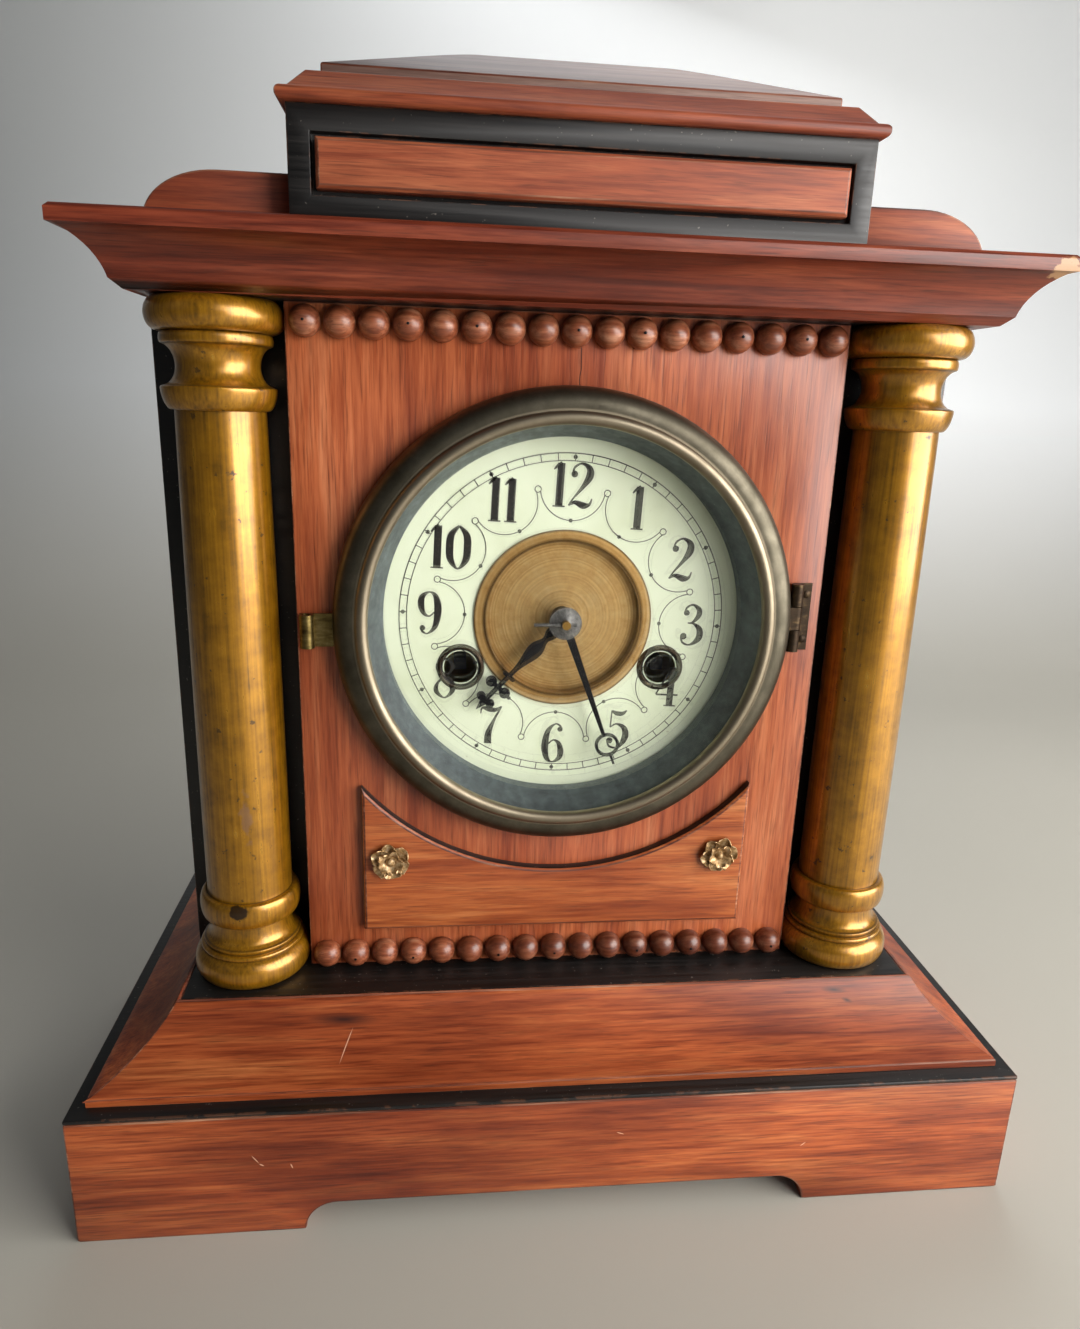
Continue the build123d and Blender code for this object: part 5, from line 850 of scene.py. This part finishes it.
capitalRuns = [[(14.4, 0.0), (15.4, 0.1), (16.3, 1.0), (17.1, 2.6), (17.6, 4.4), (17.9, 6.2), (17.8, 7.0),
                (17.2, 7.4)],
               [(17.2, 7.4), (15.6, 8.0), (14.2, 9.4), (13.3, 11.4), (13.0, 13.6), (13.3, 15.8), (14.1, 17.8),
                (15.3, 19.2), (16.1, 19.7)],
               [(16.4, 19.8), (17.1, 20.2), (17.3, 21.2), (17.3, 22.2), (17.0, 23.1), (16.4, 23.4)],
               [(16.8, 23.5), (19.0, 24.0), (20.5, 25.6), (21.2, 28.2), (20.8, 30.8), (19.6, 32.8),
                (17.6, 33.8)]]
baseLow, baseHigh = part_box("column_bases")
capitalLow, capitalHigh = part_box("column_capitals")
shaftLow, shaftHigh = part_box("column_shafts")
columnX = capitalHigh.x - column["widest"] * mm
columnY = (shaftLow.y + shaftHigh.y) / 2
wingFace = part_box("front_board")[0].y
tall = (capitalLow.z - baseHigh.z) / mm
shaftRuns = [[(14.8, 0.0), (15.1, 0.5), (15.05, tall * 0.3), (14.75, tall * 0.65), (14.2, tall - 0.5),
              (14.0, tall)]]


def turnedColumns(name, runs, low, replaced):
    outline, joints = [], []
    for run in runs:
        joints.append(run[0])
        outline += curveThrough(run, column["fine"])
    joints.append(runs[-1][-1])
    bm = bmesh.new()
    # per-point darkening near the joints of the mouldings: wax dirt with painted shade in the grooves
    grime = bm.verts.layers.float.new("grime")
    for side in (-1, 1):
        rings = []
        for radius, height in [(0, outline[0][1])] + outline + [(0, outline[-1][1])]:
            near = min((radius - r) ** 2 + (height - z) ** 2 for r, z in joints) ** 0.5
            ring = []
            for step in range(column["steps"] if radius else 1):
                angle = 2 * pi * step / column["steps"]
                back = min(columnY - radius * mm * cos(angle), wingFace)    # flat where it meets the wing
                vert = bm.verts.new((side * columnX + radius * mm * sin(angle), back, low + height * mm))
                vert[grime] = max(0.0, 1 - near / column["grimeAndShadeReach"]) * column["grime"]
                ring.append(vert)
            rings.append(ring * column["steps"] if len(ring) == 1 else ring)
        skinRings(bm, rings)
    bmesh.ops.recalc_face_normals(bm, faces=bm.faces[:])
    mesh = meshFrom(bm, name, giltPaint)
    smooth(mesh, 40)
    addPiece(name, mesh, "case", (replaced,))


turnedColumns("columnBases", baseRuns, baseLow.z, "column_bases")
turnedColumns("columnShafts", shaftRuns, baseHigh.z, "column_shafts")
turnedColumns("columnCapitals", capitalRuns, capitalLow.z, "column_capitals")
print("columns turned")

# Screws of the hinges and the back, with their insets from the leaves' and the board's edges in mm
screw = {"radius": 1.5, "rise": 0.5, "leafThick": 0.8, "panelSide": 1.9, "panelEnd": 4, "boardSide": 8,
         "boardEnd": 10, "doorLeafTall": 25, "doorLeafSide": 4, "doorLeafUp": (6, 19)}
wide, high = screw["radius"], screw["rise"]
headProfile = [(0, -high), (0.9, 0.06 - high), (wide, -0.02), (wide, 0.3), (0, 0.3)]
screwHead = turnedProfile(headProfile, 16, "screwHead")
backHead = screwHead.copy()
backHead.transform(Matrix.Rotation(pi, 4, "Z"))
leafLow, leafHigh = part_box("panel_hinge_leaf")
hingeScrews = [(leafHigh.x - screw["panelSide"] * mm, panelFace - screw["leafThick"] * mm, z)
               for z in (leafLow.z + screw["panelEnd"] * mm, leafHigh.z - screw["panelEnd"] * mm)]
backLow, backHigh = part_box("back_board")
side, end = screw["boardSide"] * mm, screw["boardEnd"] * mm
heights = (backLow.z + end, (backLow.z + backHigh.z) / 2, backHigh.z - end)
backScrews = [(x, backHigh.y, z) for x in (backLow.x + side, backHigh.x - side) for z in heights]
caseLeafLow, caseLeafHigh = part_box("door_hinge_case_leaves")
leafX, leafY = caseLeafHigh.x - screw["doorLeafSide"] * mm, backHigh.y + screw["leafThick"] * mm
for z in (caseLeafLow.z, caseLeafHigh.z - screw["doorLeafTall"] * mm):
    backScrews += [(leafX, leafY, z + up * mm) for up in screw["doorLeafUp"]]
for name, head, places, finish in (("bezelHingeScrews", screwHead, hingeScrews, hingeDark),
                                   ("backScrews", backHead, backScrews, hingeBrass)):
    heads = placeCopies(head, places, finish)
    smooth(heads, 40)
    addPiece(name, heads, "case")

# CAD nodes that keep their shape and get a finish
kept = {
    blackWood: ("top_board",),
    bezelBrass: ("bezel_ring",),
    hingeDark: ("panel_hinge_leaf", "bezel_hinge_leaf"),
    tabBrass: ("bezel_tab",),
    hingeBrass: ("door_hinge_case_leaves", "door_hinge_door_leaves", "door_button"),
    clearGlass: ("bezel_glass",),
    sightMetal: ("bezel_sight_ring",),
    panSteel: ("dial_pan",),
    creamDial: ("dial_plate",),
    dialBrass: ("dial_centre",),
    darkSteel: ("hour_hand", "minute_hand", "time_winding_arbor", "strike_winding_arbor"),
    colletSteel: ("hand_pin",),
    greySteel: ("verge", "strike_hammer", "plate_pillars"),
    springSteel: ("mainsprings", "coil_gong"),
    plateBrass: ("front_plate", "back_plate", "time_great_wheel", "strike_great_wheel", "second_wheel",
                 "centre_wheel", "third_wheel", "escape_wheel", "minute_wheel", "hour_wheel", "strike_wheel",
                 "warning_wheel", "fly", "pendulum_rod", "pendulum_bob", "gong_stand"),
}
for finish, names in kept.items():
    for name in names:
        nodes[name].data.materials.clear()
        nodes[name].data.materials.append(finish)
print("nodes finished:", sum(len(names) for names in kept.values()))

# Floor and backdrop: one pale sweep, plain painted board below and smooth plaster above, in metres; the
# plaster carries painted shade, darker to the left, and a painted glow to the right
sweep = {"half": 2.8, "front": -1.6, "back": 1.2, "bend": 0.7, "top": 2.6, "steps": 12, "mottle": 0.4,
         "wallFrom": 0.3, "left": -0.8, "right": 0.5, "glow": 0.12, "glowTone": "#eef4f8"}
floorPaint, skin, where, add = newFinish("tableTopPlain", {"Roughness": 0.6, "IOR": 1.45})
mottle = add("TexNoise", {"Scale": 1 / sweep["mottle"], "Detail": 2.0}, {"Vector": where})
pale = add("ValToRGB", {"stops": ((0.3, "#a9a69c"), (0.7, "#aeaba1"))}, {"Fac": mottle})
height = add("SeparateXYZ", {}, {0: where}).outputs
rise = add("MapRange", {"From Min": 0.0, "From Max": sweep["wallFrom"]}, {"Value": height[2]})
# painted shade: the plaster is painted darker towards the left and paler towards the right, as if the key
# light fell from the right
paintedLightAcross = add("MapRange", {"From Min": sweep["left"], "From Max": sweep["right"]}, {"Value": height[0]})
plasterPaintedShade = add("ValToRGB", {"stops": ((0.0, "#b3b6b6"), (1.0, "#fcfeff"))}, {"Fac": paintedLightAcross})
wall = add("Mix", {"data_type": "RGBA"}, {0: rise, 6: pale, 7: plasterPaintedShade})
rays = add("LightPath").outputs    # painted light: the wall glows paler towards the right for camera, glossy and transmission rays, without lighting the clock more
seen = add("Math", {"operation": "MAXIMUM"}, {0: rays["Is Camera Ray"], 1: rays["Is Glossy Ray"]})
seen = add("Math", {"operation": "MAXIMUM"}, {0: seen, 1: rays["Is Transmission Ray"]})
glow = add("Math", {"operation": "MULTIPLY"}, {0: rise, 1: paintedLightAcross})
glow = add("Math", {"operation": "MULTIPLY"}, {0: glow, 1: seen})
glow = add("Math", {"operation": "MULTIPLY", 1: sweep["glow"]}, {0: glow})
wire(skin, {"Base Color": wall, "Emission Strength": glow})
skin.inputs["Emission Color"].default_value = toneOf(sweep["glowTone"])
outline = [(sweep["front"], 0.0), (sweep["back"] - sweep["bend"], 0.0)]
for step in range(1, sweep["steps"] + 1):
    lean = step / sweep["steps"] * pi / 2
    outline.append((sweep["back"] - sweep["bend"] * (1 - sin(lean)), sweep["bend"] * (1 - cos(lean))))
outline.append((sweep["back"], sweep["top"]))
bm = bmesh.new()
rows = [[bm.verts.new((x, y, z)) for y, z in outline] for x in (-sweep["half"], sweep["half"])]
for i in range(len(outline) - 1):
    bm.faces.new((rows[0][i], rows[1][i], rows[1][i + 1], rows[0][i + 1]))
floorMesh = meshFrom(bm, "floorSweep", floorPaint)
smooth(floorMesh, 40)
floor = bpy.data.objects.new("floorSweep", floorMesh)
sceneObjects.link(floor)

# Soft studio light: a large key from the right front, weak fills, a glow from behind and a pale room
lamps = {    # place, target and size in metres, watts, tone
    "keyLight": ((0.85, -0.55, 0.44), (0, 0, 0.2), (1.15, 0.8), 26, "#fffcf8"),
    "frontGlow": ((0.6, -1.2, 0.8), (0, 0, 0.2), (0.7, 0.7), 2.5, "#fbfcff"),
    "fillLight": ((-1.3, -1.1, 0.9), (0, 0, 0.2), (1.0, 1.0), 0.25, "#f4f8ff"),
    "rearGlow": ((0.2, 0.95, 1.15), (0, 0.05, 0.28), (0.9, 0.6), 7, "#fbfcff"),
}
for name, (place, target, size, watts, hexCode) in lamps.items():
    lamp = bpy.data.lights.new(name, "AREA")
    lamp.shape = "RECTANGLE"
    lamp.size, lamp.size_y = size
    lamp.energy = watts
    lamp.color = toneOf(hexCode)[:3]
    lampObject = bpy.data.objects.new(name, lamp)
    lampObject.location = place
    lampObject.rotation_euler = (Vector(target) - Vector(place)).to_track_quat("-Z", "Y").to_euler()
    sceneObjects.link(lampObject)
room = {"tone": "#e9ecee", "strength": 0.07}
world = bpy.data.worlds.new("paleRoom")
bpy.context.scene.world = world
world.use_nodes = True
world.node_tree.nodes["Background"].inputs[0].default_value = toneOf(room["tone"])
world.node_tree.nodes["Background"].inputs[1].default_value = room["strength"]

# Camera where the photograph was taken from
view = {"place": (-0.0425, -0.3480, 0.2807), "right": (0.99451421, -0.10011724, 0.03029898),
        "up": (-0.00182136, 0.27304246, 0.96200026), "forward": (0.10458572, 0.95677811, -0.27136225),
        "focal": 915.8, "height": 1329, "sensor": 36, "near": 0.01}
lens = bpy.data.cameras.new("photoView")
lens.sensor_fit = "VERTICAL"
lens.sensor_height = view["sensor"]
lens.lens = view["focal"] * view["sensor"] / view["height"]
lens.clip_start = view["near"]
eye = bpy.data.objects.new("photoView", lens)
axes = Matrix((view["right"], view["up"], [-f for f in view["forward"]])).transposed().to_4x4()
eye.matrix_world = Matrix.Translation(view["place"]) @ axes
sceneObjects.link(eye)
bpy.context.scene.camera = eye
bpy.context.scene.view_settings.view_transform = "Standard"
print("floor, lights and camera set")
